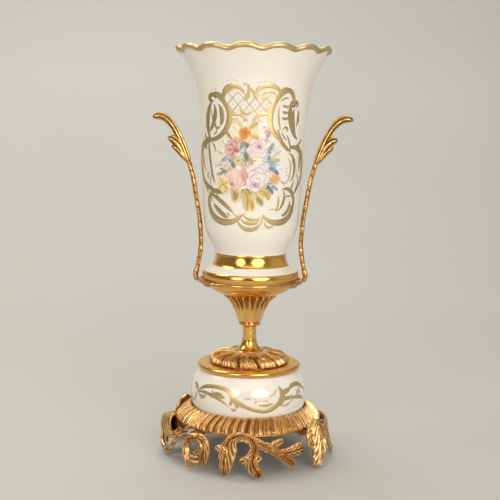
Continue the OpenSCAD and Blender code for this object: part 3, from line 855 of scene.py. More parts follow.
def build_rim():
    """Gilt bead that follows the scalloped rim."""
    columns, sides, inset = 560, 20, 3.3
    angles = np.arange(columns) * 360 / columns
    turn = circle(sides)
    dip = valley(angles)[:, None]
    r = reach("vase_body") - inset - RIM_PULL * dip + 3.2 * np.cos(turn)
    z = BODY_TOP - inset - RIM_DIP * dip + 3.4 * np.sin(turn)
    # Painted shade: the bead is browner on its underside and in the rim's valleys.
    under = np.clip(-np.sin(turn), 0, 1)[None, :] * 0.25 + 0.15 * dip
    shape = Shape()
    shape.add(around(r, angles[:, None], z), grid_faces(columns, sides, True, True),
              under.reshape(-1))
    shape.piece("rim_gilding", gilding, "polished_brass")


def band_outline(side, z0, z1, lift):
    z = np.linspace(z0, z1, 26)
    outer = np.stack([side(z) + lift, z], 1)
    outer[[0, -1], 0] -= lift
    inner = np.stack([side(z[::-1]) - 1.2, z[::-1]], 1)
    return np.vstack([outer, inner])


def build_bands():
    for name, z0, z1 in (("waist_band", BODY_LOW + 17.5, BODY_LOW + 32.5),
                         ("foot_band", BODY_LOW + 0.4, BODY_LOW + 10.5)):
        shape = Shape()
        lathe(shape, band_outline(body_side, z0, z1, 0.25))
        shape.piece(name, polished, "polished_brass")


# ---- Gilding ----

BROAD = 1.28


class Ribbons:
    """Raised strokes of gold laid on a surface of revolution. A place on the surface is
    (across, up): millimetres round from the front at radius unroll, and millimetres above
    the middle height."""

    def __init__(self, side, unroll, middle, facing):
        self.side = side
        self.unroll = unroll
        self.middle = middle
        self.facing = facing
        self.shape = Shape()

    def lift(self, u, v, height):
        z = v + self.middle
        r = self.side(z)
        slope = self.side(z + 0.5) - self.side(z - 0.5)
        size = np.sqrt(1 + slope ** 2)
        angle = np.degrees(u / self.unroll) + self.facing
        return around(r + height / size, angle, z - height * slope / size)

    def ribbon(self, path, width, start=0.2, end=0.2, tone=0.0, thick=0.2):
        """Stroke along a path, widest in its middle. start and end are shares of the full
        width at its two ends, and a tone above 0 makes the gold browner."""
        path = np.asarray(path, float)
        share = np.linspace(0, 1, len(path))
        before = start + (1 - start) * np.sin(np.clip(2 * share, 0, 1) * np.pi / 2)
        after = end + (1 - end) * np.sin(np.clip(2 * (1 - share), 0, 1) * np.pi / 2)
        half = width * BROAD / 2 * np.minimum(before, after)
        along = np.gradient(path, axis=0)
        along /= np.maximum(np.linalg.norm(along, axis=1, keepdims=True), 1e-9)
        side = np.stack([-along[:, 1], along[:, 0]], 1)
        t = np.array([-1, -0.8, -0.45, 0, 0.45, 0.8, 1, 0.5, -0.5])
        up = np.array([-0.25, 0.5, 0.9, 1, 0.9, 0.5, -0.25, -0.9, -0.9])
        u = path[:, None, 0] + side[:, None, 0] * half[:, None] * t
        v = path[:, None, 1] + side[:, None, 1] * half[:, None] * t
        height = thick * np.minimum(half / 0.6, 1)[:, None] * up
        # Painted shade: each stroke is browner towards its edges and palest along its crest, and its
        # tone browns or pales the whole stroke.
        edge = np.broadcast_to(np.array([1, 0.7, 0.2, 0, 0.2, 0.7, 1, 1, 1]) * 0.5 + tone, u.shape)
        self.shape.tube(self.lift(u, v, height), edge)

    def bow(self, a, b, bulge, width, lean=0.0, **ends):
        """Arc from a to b whose middle stands off the chord to the left by bulge. A lean
        above 0 moves the bulge towards b."""
        a, b = np.array(a, float), np.array(b, float)
        chord = b - a
        off = np.array([-chord[1], chord[0]]) / np.linalg.norm(chord) * bulge * 4 / 3
        c1 = a + chord * (0.12 + lean) + off
        c2 = b - chord * (0.12 - lean) + off
        n = 8 + int(np.linalg.norm(chord) + abs(bulge) * 1.5)
        t = np.linspace(0, 1, n)[:, None]
        path = (1 - t) ** 3 * a + 3 * t * (1 - t) ** 2 * c1 + 3 * t * t * (1 - t) * c2 + t ** 3 * b
        self.ribbon(path, width, **ends)

    def curl(self, centre, radius, first, sweep, width, shrink=0.35, **ends):
        """Spiral round centre that tightens to shrink times its radius."""
        share = np.linspace(0, 1, 8 + int(abs(sweep) / 12))
        angle = np.radians(first + sweep * share)
        r = radius * (1 + (shrink - 1) * share)
        path = np.stack([centre[0] + r * np.cos(angle), centre[1] + r * np.sin(angle)], 1)
        self.ribbon(path, width, **ends)

    def dot(self, u, v, size):
        path = [(u - size / 2, v), (u, v), (u + size / 2, v)]
        self.ribbon(path, size, start=0.5, end=0.5, tone=1.0, thick=0.25)

    def dots(self, a, b, count, bulge=0.0):
        """Row of small dots from a to b, bowed to the left by bulge."""
        a, b = np.array(a, float), np.array(b, float)
        off = np.array([a[1] - b[1], b[0] - a[0]]) / np.linalg.norm(b - a) * bulge
        for t in np.linspace(0, 1, count):
            u, v = a + (b - a) * t + off * 4 * t * (1 - t)
            self.dot(u, v, 1.0)


def trellis(g):
    """Crossed lines with a dot in each diamond, between the two arches and the two bands."""
    pitch, rise, foot, head = 12, 14.5, 47, 76
    for k in range(-6, 7):
        for way in (1, -1):
            t = np.linspace(0, 1, 40)
            v = foot + (head - foot) * t
            u = -4 + pitch * k + way * (v - 62) * pitch / rise
            arch = 77 - np.minimum(np.abs(u + 18), np.abs(u - 16)) ** 2 / 42
            inside = (u > -29) & (u < 22) & (v < arch) & (v > 48 + 5 * (np.abs(u + 3) < 5))
            if inside.sum() > 5:
                g.ribbon(np.stack([u, v], 1)[inside], 1.0, start=0.8, end=0.8, tone=0.1)
    for u, v in ((-22, 62), (-16, 55), (-10, 62), (-16, 69), (-4, 69), (2, 62), (-4, 55), (8, 55),
                 (8, 69), (14, 62)):
        g.dot(u, v, 0.8)


def arches(g):
    """Two arches over the trellis, with the finial between them."""
    g.bow((-33, 68), (-9, 74), 12, 4.6, start=0.5, end=0.3)
    g.bow((-31, 70), (-16, 79), 4, 2.4)
    g.bow((-35, 72), (-30, 82), -1, 2.2, start=0.9, end=0.1)
    g.bow((-10, 66), (-6, 85), -3, 3.4, start=0.3, end=0.5)
    g.curl((-8, 84), 2, 0, 250, 1.6)
    g.bow((-5, 81), (1, 70), 2.5, 3, start=0.3, end=0.7)
    g.bow((-9, 79), (-2, 71), -3, 1.6)
    g.bow((1, 70), (30, 73), 12.5, 4.8, start=0.4, end=0.4)
    g.bow((9, 71), (24, 73), 5, 2.6)
    g.bow((10, 67), (15, 71), 1.5, 2.6, start=0.6, end=0.1)
    g.bow((-1, 74), (5, 66), 1.5, 2.4, start=0.2, end=0.2)
    g.bow((20, 83), (29, 77), 1.5, 2.2)


def closing_scrolls(g):
    """Leafy scrolls that close the trellis from below."""
    g.bow((-28, 46), (-9, 43), 6.5, 3.4, start=0.6, end=0.3)
    g.bow((-28, 41), (-17, 44), 2, 2)
    g.bow((-27, 38), (-18, 41), 1.5, 1.4)
    g.curl((-10, 45), 3.4, 100, -230, 1.8)
    g.bow((0, 38), (20, 48), 8, 3.4, start=0.3, end=0.5)
    g.bow((1, 44), (5, 44), -1.4, 1.6)
    g.bow((6, 48), (16, 45), -3.5, 1.8)
    g.bow((-14, 60), (0, 56), -7, 2.2, tone=0.1)


def left_bands(g):
    """Knot, broad C band and the bands beside it, on the left."""
    # Painted shade: the tones here brown the gold on the left of the frame.
    g.curl((-48, 68), 6, 10, 300, 4.2, shrink=0.3, start=0.8, end=0.4, tone=0.3)
    g.bow((-46, 73), (-33, 68), 2, 5.4, start=0.7, end=0.8)
    g.bow((-46, 74), (-55, 20), 24, 5.6, lean=-0.02, start=0.6, end=0.7)
    g.bow((-48, 64), (-54, 22), -7, 5.4, tone=0.2)
    g.bow((-46, 62), (-57, 30), 5, 4.6, tone=0.15)
    g.bow((-40, 62), (-38, 39), 3.5, 5, start=0.1, end=0.6)
    g.curl((-43, 38), 4.6, 10, -260, 2.6)
    g.bow((-44, 34), (-49, 27), 2, 1.8)
    g.bow((-52, 60), (-50, 40), 1, 1.2, tone=0.3)
    g.bow((-66, 29), (-58, 20), -2, 2.6, start=0.1, end=0.9, tone=0.2)


def left_scroll(g):
    """Lower C scroll on the left, round to the foot of the frame."""
    # Painted shade: the tones here brown the gold on the left of the frame.
    g.curl((-61, 12), 6.5, 60, 190, 4.2, tone=0.2)
    g.bow((-55, 21), (-53, -38), -28, 6.4, start=0.9, end=0.7, tone=0.2)
    g.bow((-57, 18), (-49, -30), -3, 3.2, start=0.5, end=0.4, tone=0.25)
    g.bow((-53, 17), (-48, 6), 3, 2, tone=0.2)
    g.bow((-71, 6), (-67, -17), -3, 3, tone=0.2)
    g.curl((-60, -23), 4.6, 70, 200, 2.2, tone=0.2)
    g.bow((-53, -20), (-54, -36), -4, 1.6, tone=0.1)
    g.bow((-77, -22), (-38, -41), -5, 4, start=0.2, end=0.5, tone=0.2)
    g.bow((-69, -33), (-60, -43), -1.5, 1.8, tone=0.2)


def left_foot(g):
    """Scroll at the left of the foot."""
    # Painted shade: the tones here brown the gold at the left of the foot.
    g.bow((-38, -41), (-62, -56), -8, 4.4, start=0.2, end=1, tone=0.15)
    g.bow((-62, -54), (-12, -66), -16, 7, lean=-0.04, start=0.8, end=0.3, tone=0.1)
    g.bow((-54, -45), (-24, -64), 2, 4.6, start=0.5, end=0.4, tone=0.15)
    g.bow((-52, -55), (-31, -70), -1.5, 5, start=0.1, end=0.6, tone=0.15)
    g.curl((-31, -67), 3, -90, 240, 2, tone=0.1)
    g.bow((-24, -63), (-8, -63), -5, 2.2)
    g.bow((-58, -45), (-59, -53), 3, 1.8, tone=0.15)
    g.bow((-48, -42), (-38, -50), -1, 1.4, tone=0.1)


def shell(g):
    """Shell in the middle of the foot."""
    # Painted highlight: the two strokes with a tone below 0 are paler.
    g.bow((-19, -71), (14, -67), -16, 3, start=0.4, end=0.3)
    g.bow((-16, -73), (9, -76), -8, 2.4)
    g.bow((-13, -71), (10, -72), -5, 3.8, tone=-0.1)
    g.bow((-10, -66), (12, -68), -5, 3.2, tone=-0.1)


def right_bands(g):
    """Knot, broad pale C band, its darker companion and their curls, on the right."""
    # Painted highlight on the broad pale C band, whose tone is below 0, and painted shade on its
    # browner companions.
    g.bow((24, 68), (47, 69), 11, 4.8, start=0.4, end=0.8, tone=0.05)
    g.curl((46, 64), 5.6, 80, -230, 3, tone=0.2)
    g.bow((37, 77), (35, 22), -17, 5.4, lean=0.04, start=0.4, end=0.6, tone=-0.05)
    g.bow((29, 61), (33, 33), -2.5, 2.4, tone=-0.05)
    g.bow((47, 68), (59, 23), -8, 5.4, start=0.4, end=0.3, tone=0.15)
    g.bow((30, 65), (40, 69), 2.5, 2.2)
    for k in range(3):
        g.bow((34, 62 - 7 * k), (41, 62 - 7 * k), -2, 2.6, start=0.9, end=0.1, tone=0.1)
    g.curl((51, 62), 5, 170, -250, 3, shrink=0.5, tone=0.15)
    g.bow((50, 58), (57, 24), -4, 4.6, tone=0.2)
    g.bow((56, 57), (55, 38), 2, 3.4, tone=0.2)
    g.curl((39, 33), 4.4, 190, -260, 2.4, tone=0.1)
    g.bow((34, 32), (42, 22), -2, 1.8)


def right_scroll(g):
    """Lower C scroll on the right."""
    # Painted shade: the tones here brown the gold at the right side of the frame.
    g.bow((29, 34), (49, 9), -5, 4.2, start=0.6, end=0.4)
    g.bow((40, 28), (47, 8), 2, 2, tone=0.1)
    g.bow((47, 13), (64, -37), 22, 6.4, start=0.5, end=0.4, tone=0.1)
    g.curl((61, 10), 6, 130, -230, 2.8, tone=0.15)
    g.bow((62, 17), (69, 24), -1.5, 2.4, start=0.9, end=0.1, tone=0.15)
    g.bow((66, 4), (68, -16), 1.5, 4, tone=0.1)
    g.bow((45, 6), (50, -27), 10, 3.8, tone=0.15)
    g.bow((45, 0), (41, -30), 7, 1.8, tone=0.15)
    g.bow((51, -2), (56, -14), 1.5, 1.4, tone=0.15)
    g.bow((61, -19), (66, -30), 3, 2, tone=0.1)
    g.bow((56, -24), (45, -37), 5, 2.2, tone=0.15)
    g.bow((41, -32), (35, -27), -1.5, 1.4, tone=0.1)
    g.bow((67, -28), (58, -42), 2.5, 4, tone=0.1)


def right_foot(g):
    """Scroll at the right of the foot."""
    # Painted shade: the tones here brown the gold at the right of the foot.
    g.bow((14, -66), (58, -56), -15, 6.4, lean=0.05, start=0.3, end=1, tone=0.1)
    g.bow((59, -57), (38, -37), -9, 4.6, start=0.9, end=0.2, tone=0.1)
    g.bow((40, -38), (32, -61), 5.5, 3.4, tone=0.05)
    g.bow((33, -44), (30, -62), 2, 2.4, start=0.2, end=0.6)
    g.bow((51, -50), (40, -67), 5, 4, start=0.1, end=0.6, tone=0.1)
    g.bow((44, -47), (54, -46), 2, 1.8, tone=0.1)
    g.bow((16, -73), (30, -77), -6, 2.2)
    g.bow((20, -61), (30, -60), 1, 1.2)


def outer_dots(g):
    """Rows of fine dots outside the frame and inside its bands."""
    for row in (((-49, 78), (-42, 79), 3, 1), ((-31, 87), (-17, 89), 5, 1.5),
                ((5, 87), (20, 86), 6, 1.5), ((42, 80), (46, 80), 2), ((-61, 48), (-62, 35), 5),
                ((-43, 56), (-43, 46), 4), ((60, 44), (62, 34), 4), ((40, 48), (39, 42), 3),
                ((-75, -2), (-74, -14), 5), ((-64, 2), (-63, -14), 6), ((43, -12), (44, -20), 3),
                ((63, -10), (62, -16), 3), ((-64, -66), (-50, -79), 6, -1),
                ((18, -82), (28, -82), 4, -1)):
        g.dots(*row)


def cartouche(g):
    """Asymmetrical frame of scrolls round the painted flowers. The tones of its strokes paint light
    and shade on the gold: painted shade, browner on the left and towards the sides, and a painted
    highlight, paler, on the shell and the broad C band on the right.
    """
    for part in (trellis, arches, closing_scrolls, left_bands, left_scroll, left_foot, shell,
                 right_bands, right_scroll, right_foot, outer_dots):
        part(g)


def bun_scrolls(g):
    """Running scroll of leaves on the bun, one front of it."""
    g.bow((-74, 2), (-20, 6), 9.5, 4, start=0.4, end=0.8)
    g.bow((-24, 9), (24, -11), -6, 4, lean=0.05, start=0.6, end=0.8)
    g.bow((14, -11), (41, 3), -6, 5, start=0.4, end=1)
    g.bow((39, -6), (38, 15), -5, 6.4, start=0.4, end=0.08)
    g.bow((37, 14), (24, 6), 2, 2.4, start=0.1, end=0.2)
    g.bow((-74, 1), (-24, -9), 7, 3.6, start=0.2, end=0.15)
    g.bow((-72, 2), (-58, 2), -4, 4, start=0.1, end=0.3)
    g.bow((-49, 9), (-49, 0), 2.5, 2.6)
    g.bow((-45, 5), (-29, 2), 1, 5.4, start=0.3, end=0.3)
    g.bow((-20, 3), (-23, -6), 1, 3.4, start=0.7, end=0.2)
    g.bow((-19, 2), (-14, -8), 2, 4.6, start=0.8, end=0.6)
    g.curl((-18, -9), 3.2, 20, -220, 2.6)
    g.bow((-14, -2), (-5, -9), 1, 3, start=0.9, end=0.1)
    g.bow((-6, 2), (4, 2), 1.6, 1.4)
    g.curl((7, 0), 3.4, 100, -210, 1.6)
    g.bow((12, -3), (30, -3), -1.5, 3.6, start=0.2, end=0.4)
    g.bow((12, 0), (24, -1), 1.5, 1.6)
    g.bow((44, 5), (56, 9), 2, 5.2, start=0.5, end=0.4)
    g.bow((42, 2), (60, 3), -2, 4, start=0.6, end=0.1)
    g.bow((54, 8), (86, 6), 7, 4.4, start=0.5, end=0.6)
    g.bow((67, 8), (67, -1), 3, 2.4)
    g.curl((77, 5), 4, 40, 300, 2.6, shrink=0.3)
    g.bow((57, -2), (86, -8), 3.5, 4, start=0.2, end=0.3)
    g.bow((41, -7), (60, -1), -3, 1.6)
    g.bow((86, 6), (94, 0), 1.5, 3)
    g.curl((-80, 5), 5, -30, 260, 3, tone=0.1)
    g.bow((-90, 9), (-76, 4), 3, 3.2, start=0.2, end=0.8)
    g.bow((-78, 2), (-94, -10), 5, 3, start=0.8, end=0.3)
    g.bow((-94, -10), (-104, 4), 4, 2.4)


def build_gilding():
    for name, facing in (("front", 0), ("back", 180)):
        frame_gold = Ribbons(body_side, BODY_UNROLL, BODY_MIDDLE, facing)
        cartouche(frame_gold)
        frame_gold.shape.piece("body_gilding_" + name, gilding, "polished_brass")
        bun_gold = Ribbons(bun_side, BUN_UNROLL, BUN_MIDDLE, facing)
        bun_scrolls(bun_gold)
        bun_gold.shape.piece("bun_gilding_" + name, gilding, "polished_brass")


# ---- Porcelain bun ----

def build_bun():
    z0, z1 = span("base_bun")
    rows = np.linspace(z0 + 0.4, z1 - 0.8, 90)
    outside = np.stack([bun_side(rows), rows], 1)
    top = [(58.6, z1 - 0.1), (57, z1), (8, z1), (8, z1 - 5), (52, z1 - 5)]
    hollow = smooth_path([(60, z1 - 11), (64.5, z0 + 35), (66.6, z0 + 22), (65.5, z0 + 10),
                          (61.5, z0)], 8)
    shape = Shape()
    lathe(shape, np.vstack([outside, top, hollow, [(66, z0)]]))
    shape.piece("bun_porcelain", plain_glaze, "porcelain", ("base_bun",))


# ---- Turned brass ----

def turned(name, node, outline, look=polished, slot="polished_brass"):
    shape = Shape()
    lathe(shape, outline)
    shape.piece(name, look, slot, (node,), sharp=35)


def build_mount():
    z0, z1 = span("mount_ring")
    r = reach("mount_ring")
    turned("mount_edge", "mount_ring", rounded(
        [(BORE, z0, 0), (r - 3, z0, 0.6), (r, z0 + 0.6, 1.4), (r, z1 - 0.4, 1), (r - 2, z1, 0.4),
         (BORE, z1, 0)]))


def build_cup():
    z0, z1 = span("cup")
    side = outer_side("cup", z0 + 0.3, z1 - 1.4, 60)
    hollow = smooth_path([(47.5, z1), (46.5, z1 - 3.5), (42, z0 + 8), (33, z0 + 4.6),
                          (20, z0 + 4)], 8)
    turned("cup_bowl", "cup",
           np.vstack([[(BORE, z0), (31, z0)], side, [(reach("cup") - 0.4, z1)], hollow,
                      [(BORE, z0 + 4)]]))


def build_collar():
    z0, z1 = span("stem_collar")
    r = reach("stem_collar")
    tube = reach("stem_tube")
    turned("collar", "stem_collar", rounded(
        [(BORE, z0, 0), (tube + 0.9, z0, 0.3), (tube + 2.2, z0 + 1.2, 0.6), (r - 1.8, z0 + 1.6, 0.4),
         (r, z0 + 2.6, 0.8), (r, z0 + 4.4, 0.8), (r - 1.7, z0 + 4.9, 0.5), (r - 1.7, z0 + 5.5, 0.4),
         (r - 0.4, z0 + 6, 0.4), (r - 0.6, z1, 0.3), (BORE, z1, 0)]))


def build_tube():
    """Straight tube with one fine turned groove."""
    z0, z1 = span("stem_tube")
    r = reach("stem_tube")
    outline = rounded(
        [(BORE, z0, 0), (r, z0, 0.3), (r, z0 + 7.5, 0.2), (r - 0.25, z0 + 7.8, 0.1),
         (r - 0.25, z0 + 8.2, 0.1), (r, z0 + 8.5, 0.2), (r, z1, 0.3), (BORE, z1, 0)])
    turned("tube", "stem_tube", outline, satin, "satin_brass")


def build_flare():
    z0, z1 = span("stem_flare")
    tube = reach("stem_tube")
    side = outer_side("stem_flare", z0 + 1, z1 - 0.6, 60)
    turned("flare", "stem_flare",
           np.vstack([[(BORE, z0), (18, z0)], side, [(tube + 0.3, z1 - 0.2), (tube, z1),
                                                     (BORE, z1)]]))


def build_step():
    z0, z1 = span("step_disc")
    r = reach("step_disc")
    turned("step", "step_disc", rounded(
        [(BORE, z0, 0), (r - 0.6, z0, 0.4), (r, z0 + 1, 0.8), (r, z1 - 1, 1), (r - 1.2, z1, 0.6),
         (BORE, z1, 0)]))


def build_plate():
    """Polished rim of the cap plate, and its satin upper face round the step."""
    z0, z1 = span("cap_plate")
    r = reach("cap_plate")
    face_r = reach("step_disc") - 4
    turned("plate_rim", "cap_plate", rounded(
        [(BORE, z0, 0), (r - 1.2, z0, 0.5), (r, z0 + 1.2, 1), (r, z1 - 1.8, 1.2),
         (r - 2, z1 - 0.1, 1), (BORE, z1 - 0.1, 0)]))
    face = Shape()
    lathe(face, rounded([(face_r, z1 - 1, 0), (r - 2.6, z1 - 1, 0.2), (r - 2.8, z1, 0.3),
                         (face_r, z1, 0)]))
    face.piece("plate_face", plate_satin, "satin_brass")


# ---- Cast bell, rosette and ring ----

def ridge(x, width):
    """Smooth crest of height 1 where x is a whole number, width wide at its foot."""
    far = np.abs((x + 0.5) % 1 - 0.5)
    return 1 - smoothstep(0, width, far)


def build_bell():
    z0, z1 = span("fluted_bell")
    side = outer_side("fluted_bell", z0 + 0.7, z1 - 0.2, 90)
    hollow = smooth_path([(26, z1), (23, z0 + 29.5), (16, z0 + 19), (12, z0 + 9.5), (9, z0 + 6)], 5)
    outline = np.vstack([[(BORE, z0), (14.2, z0)], side, hollow, [(BORE, z0 + 6)]])
    count = 22

    def relief(angle, r, z):
        share = (z - z0) / (z1 - z0)
        outside = r > np.interp(z, side[:, 1], side[:, 0]) - 1.2
        fade = smoothstep(0.3, 0.72, share) * outside
        turn = angle * count / 360
        crest = ridge(turn, 0.36)
        between = ridge(turn + 0.5, 0.16) * smoothstep(0.5, 0.9, share)
        relief_h = np.maximum(crest, 0.7 * between)
        vein = 0.12 * np.cos(turn * TAU * 4) * smoothstep(0.4, 0.9, share)
        dr = fade * (1.9 * (relief_h - 0.75) * (0.35 + 0.65 * share) + vein)
        deep = fade * np.clip(1.05 - relief_h * 1.15, 0, 1) * (0.35 + 0.65 * share)
        return dr, np.zeros_like(r), deep + 0.10 * outside

    shape = Shape()
    lathe(shape, outline, columns=count * 26, relief=relief)
    tip_r, tip_z = float(side[-6, 0]), float(side[-6, 1])
    for k in range(count):
        leaf_tip(shape, 360 * k / count, tip_r, tip_z)
    shape.piece("leaf_bell", gilt, "antique_brass", ("fluted_bell",))


def leaf_tip(shape, angle, r, z):
    """Curled end of one leaf, a small hooked bead against the cup."""
    path = smooth_path([(r - 3.4, z - 4.2), (r - 0.6, z - 1.4), (r + 1.2, z + 0.2),
                        (r + 1.0, z + 1.4), (r - 0.6, z + 1.6)], 3)
    size = np.interp(np.linspace(0, 1, len(path)), [0, 0.55, 0.85, 1], [0.5, 1.7, 1.5, 0.3])
    turn = circle(10)
    run = np.gradient(path, axis=0)
    run /= np.linalg.norm(run, axis=1, keepdims=True)
    off = size[:, None] * 0.62 * np.sin(turn)
    rr = path[:, :1] - run[:, 1:] * off
    zz = path[:, 1:] + run[:, :1] * off
    swing = size[:, None] * np.cos(turn) / np.maximum(rr, 1)
    # Painted shade along one side of the bead.
    depth = np.clip(-off / 1.2, 0, 1) * 0.6 + np.zeros_like(rr)
    shape.tube(around(rr, angle + np.degrees(swing), zz), depth)


def build_rosette():
    z0 = high("step_disc")
    z1 = low("stem_flare")
    rim = reach("leaf_rosette")
    top = smooth_path([(18.2, z1), (24, z1 - 1.4), (32, z1 - 3), (41, z1 - 4.6),
                       (rim - 3, z1 - 7.4), (rim - 0.6, z1 - 10.4), (rim - 0.4, z1 - 12.2)], 12)
    under = [(rim - 1.8, z0 - 2.6), (rim - 4.4, z0 - 2.2), (43.6, z0 + 0.5), (43, z0), (BORE, z0),
             (BORE, z1)]
    count = 12
    rows = len(top)

    def relief(angle, r, z):
        share = np.clip((r - 18.2) / (rim - 18.2), 0, 1)
        row = np.arange(r.shape[0])[:, None]
        face = (row < rows) * 1.0
        swirl = 5 * np.sin(np.pi * share)
        turn = (angle + swirl) * count / 360
        across = (turn + 0.5) % 1 - 0.5
        leaf = np.cos(np.pi * across) ** 0.6
        spread = across * (1.35 - 0.5 * share)
        veins = (0.5 + 0.5 * np.cos(TAU * (spread * 11 + 0.4 * np.sin(5 * share)))) ** 1.5
        rib = np.exp(-(across / 0.045) ** 2)
        notch = 1 - smoothstep(0.02, 0.12, 0.5 - np.abs(across))
        outer = smoothstep(0.2, 0.55, share)
        eye = np.exp(-((np.abs(across) - 0.27) / 0.06) ** 2 - ((share - 0.4) / 0.15) ** 2)
        curl = np.exp(-((share - 0.93) / 0.05) ** 2)
        grow = smoothstep(0.0, 0.25, share)
        lift = grow * (1.1 * leaf - 0.7 + 0.85 * veins * (0.3 + outer) + 1.0 * rib
                       - 1.5 * notch * outer - 1.6 * eye + 0.7 * curl * leaf)
        pull = -3.4 * (1 - leaf) * smoothstep(0.7, 1, share)
        scallop = 0.9 * np.cos(TAU * across * 5) * smoothstep(0.8, 1, share)
        deep = 0.15 + 0.5 * (1 - veins) * (0.3 + 0.7 * outer) + 0.6 * notch * outer + 0.8 * eye
        deep = deep * grow - 0.5 * rib - 0.35 * curl
        return face * (pull + scallop), face * lift * 0.8, np.clip(deep, 0, 1) * face

    shape = Shape()
    lathe(shape, np.vstack([top, under]), columns=count * 64, relief=relief)
    shape.piece("rosette", antique, "antique_brass", ("leaf_rosette",))


def build_ring():
    z0, top_z = span("gadroon_ring")
    rim = reach("gadroon_ring")
    slope = smooth_path([(72.3, top_z - 0.2), (76.5, top_z - 3), (81.5, top_z - 7),
                         (86, top_z - 11), (rim - 1.3, z0 + 3.6), (rim - 1, z0 + 2.2)], 15)
    lip = [(rim - 0.6, z0 + 1.8), (rim - 0.3, z0 + 1.0), (rim - 0.9, z0 + 0.2), (rim - 2.2, z0)]
    under = [(78, z0), (78, z0 + 3), (74, z0 + 6), (60, z0 + 6), (60, z0 + 10), (71, z0 + 10),
             (71.3, z0 + 15), (71.6, top_z - 0.6)]
    count = 54
    rows = len(slope)
    wide = rng.uniform(0.5, 0.7, count)
    hollow = rng.uniform(0.35, 1.0, count)
    tall = rng.uniform(0.7, 1.15, count)
    lean = rng.uniform(-0.09, 0.09, count)
    end = rng.uniform(0.76, 0.9, count)

    def relief(angle, r, z):
        row = np.arange(r.shape[0])[:, None]
        face = (row < rows) * 1.0
        share = np.clip((top_z - z) / (top_z - z0), 0, 1)
        slant = 2.4 * share + 1.4 * np.sin(np.pi * share * 1.1)
        turn = (angle + slant) * count / 360
        k = np.floor(turn).astype(int) % count
        x = turn - np.floor(turn)
        x = x + lean[k] * np.sin(np.pi * x) * (1 - 2 * share)
        edge = wide[k] * (1 - 0.15 * share)
        inside = np.clip(x / edge, 0, 1)
        lines = np.exp(-((x - 0.07) / 0.045) ** 2) + np.exp(-((x - edge) / 0.04) ** 2)
        closed = np.exp(-((share - end[k]) / 0.05) ** 2) * (x < edge)
        scoop = np.sin(np.pi * inside) * (share < end[k] + 0.03)
        blade = np.sin(np.pi * np.clip((x - edge) / (1 - edge + 1e-6), 0, 1)) ** 0.8
        fine = 0.5 + 0.5 * np.cos(TAU * (x * 5 + 0.8 * share))
        ends = smoothstep(0.0, 0.1, share) * (1 - 0.4 * smoothstep(0.92, 1, share))
        crest = np.clip(np.maximum(lines, closed), 0, 1)
        height = (0.55 + 1.15 * crest - 0.75 * hollow[k] * scoop + 0.7 * blade * (1 - crest)
                  + 0.08 * fine - 0.9) * tall[k] * ends * 2.1
        top_wave = (1.5 * (inside > 0) * np.sin(np.pi * inside) - 0.9) * tall[k] \
            * (1 - smoothstep(0, 0.14, share))
        beside = np.exp(-((x - 0.17) / 0.05) ** 2) + np.exp(-((x - edge - 0.1) / 0.05) ** 2)
        deep = 0.36 + 0.34 * scoop * hollow[k] + 0.65 * beside * ends - 0.6 * crest - 0.1 * blade
        floor = smoothstep(0.93, 1, share) * 0.2
        return (face * height * 0.72, face * (height * 0.62 + top_wave),
                face * np.clip(deep + floor, 0, 1) + (1 - face) * 0.5)

    shape = Shape()
    lathe(shape, np.vstack([slope, lip, under]), columns=count * 18, relief=relief)
    shape.piece("gadroons", antique, "antique_brass", ("gadroon_ring",))


# ---- Cast strands: feet and handles ----

def swept(stations, radial, spacing=0.9):
    """Points, width axes, thickness axes, widths, thicknesses and lengths along a strand whose
    stations are (angle from the front, radius, height, width, thickness)."""
    fine = smooth_path(stations, 16)
    path = around(fine[:, 1], fine[:, 0], fine[:, 2])
    walked = np.concatenate([[0], np.cumsum(np.linalg.norm(np.diff(path, axis=0), axis=1))])
    length = np.linspace(0, walked[-1], max(int(walked[-1] / spacing), 6))
    fine = np.stack([np.interp(length, walked, fine[:, k]) for k in range(5)], 1)
    path = around(fine[:, 1], fine[:, 0], fine[:, 2])
    run = np.gradient(path, axis=0)
    run /= np.linalg.norm(run, axis=1, keepdims=True)
    outward = around(1.0, fine[:, 0], 0.0)
    turn = np.radians(fine[:, 0])
    sideways = np.stack([np.cos(turn), np.sin(turn), np.zeros_like(turn)], 1)
    if radial:
        wide = sideways - (sideways * run).sum(1)[:, None] * run
    else:
        wide = np.cross(outward - (outward * run).sum(1)[:, None] * run, run)
    wide /= np.linalg.norm(wide, axis=1, keepdims=True)
    return path, wide, np.cross(run, wide), fine[:, 3], fine[:, 4], length


def strand(shape, stations, kind="leaf", radial=False, pitch=9.0, sweep=2.2, relief=1.0,
           teeth=0.18, spine=0.0, turn=0):
    """Leafy strand. pitch is the distance between veins, sweep how far they run along the
    strand on their way to its edge, and spine the place of the middle groove, -1 to 1."""
    stations = [(s[0] + turn, *s[1:]) for s in stations]
    path, wide, thick, width, height, length = swept(stations, radial)
    share = length / length[-1]
    ends = np.clip(np.minimum(share, 1 - share) / 0.05 + 0.25, 0, 1) ** 0.5
    make = {"leaf": leaf_section, "twig": twig_section, "frond": frond_section}[kind]
    x, y, deep = make(length, pitch, sweep, relief, teeth, spine)
    x = x * (width * ends / 2)[:, None]
    y = y * (height * ends / 2)[:, None]
    rings = path[:, None] + x[..., None] * wide[:, None] + y[..., None] * thick[:, None]
    rings[..., 2] = np.maximum(rings[..., 2], 0)
    shape.tube(rings, deep)


# The three kinds of section share one signature, and each uses what it needs of it.

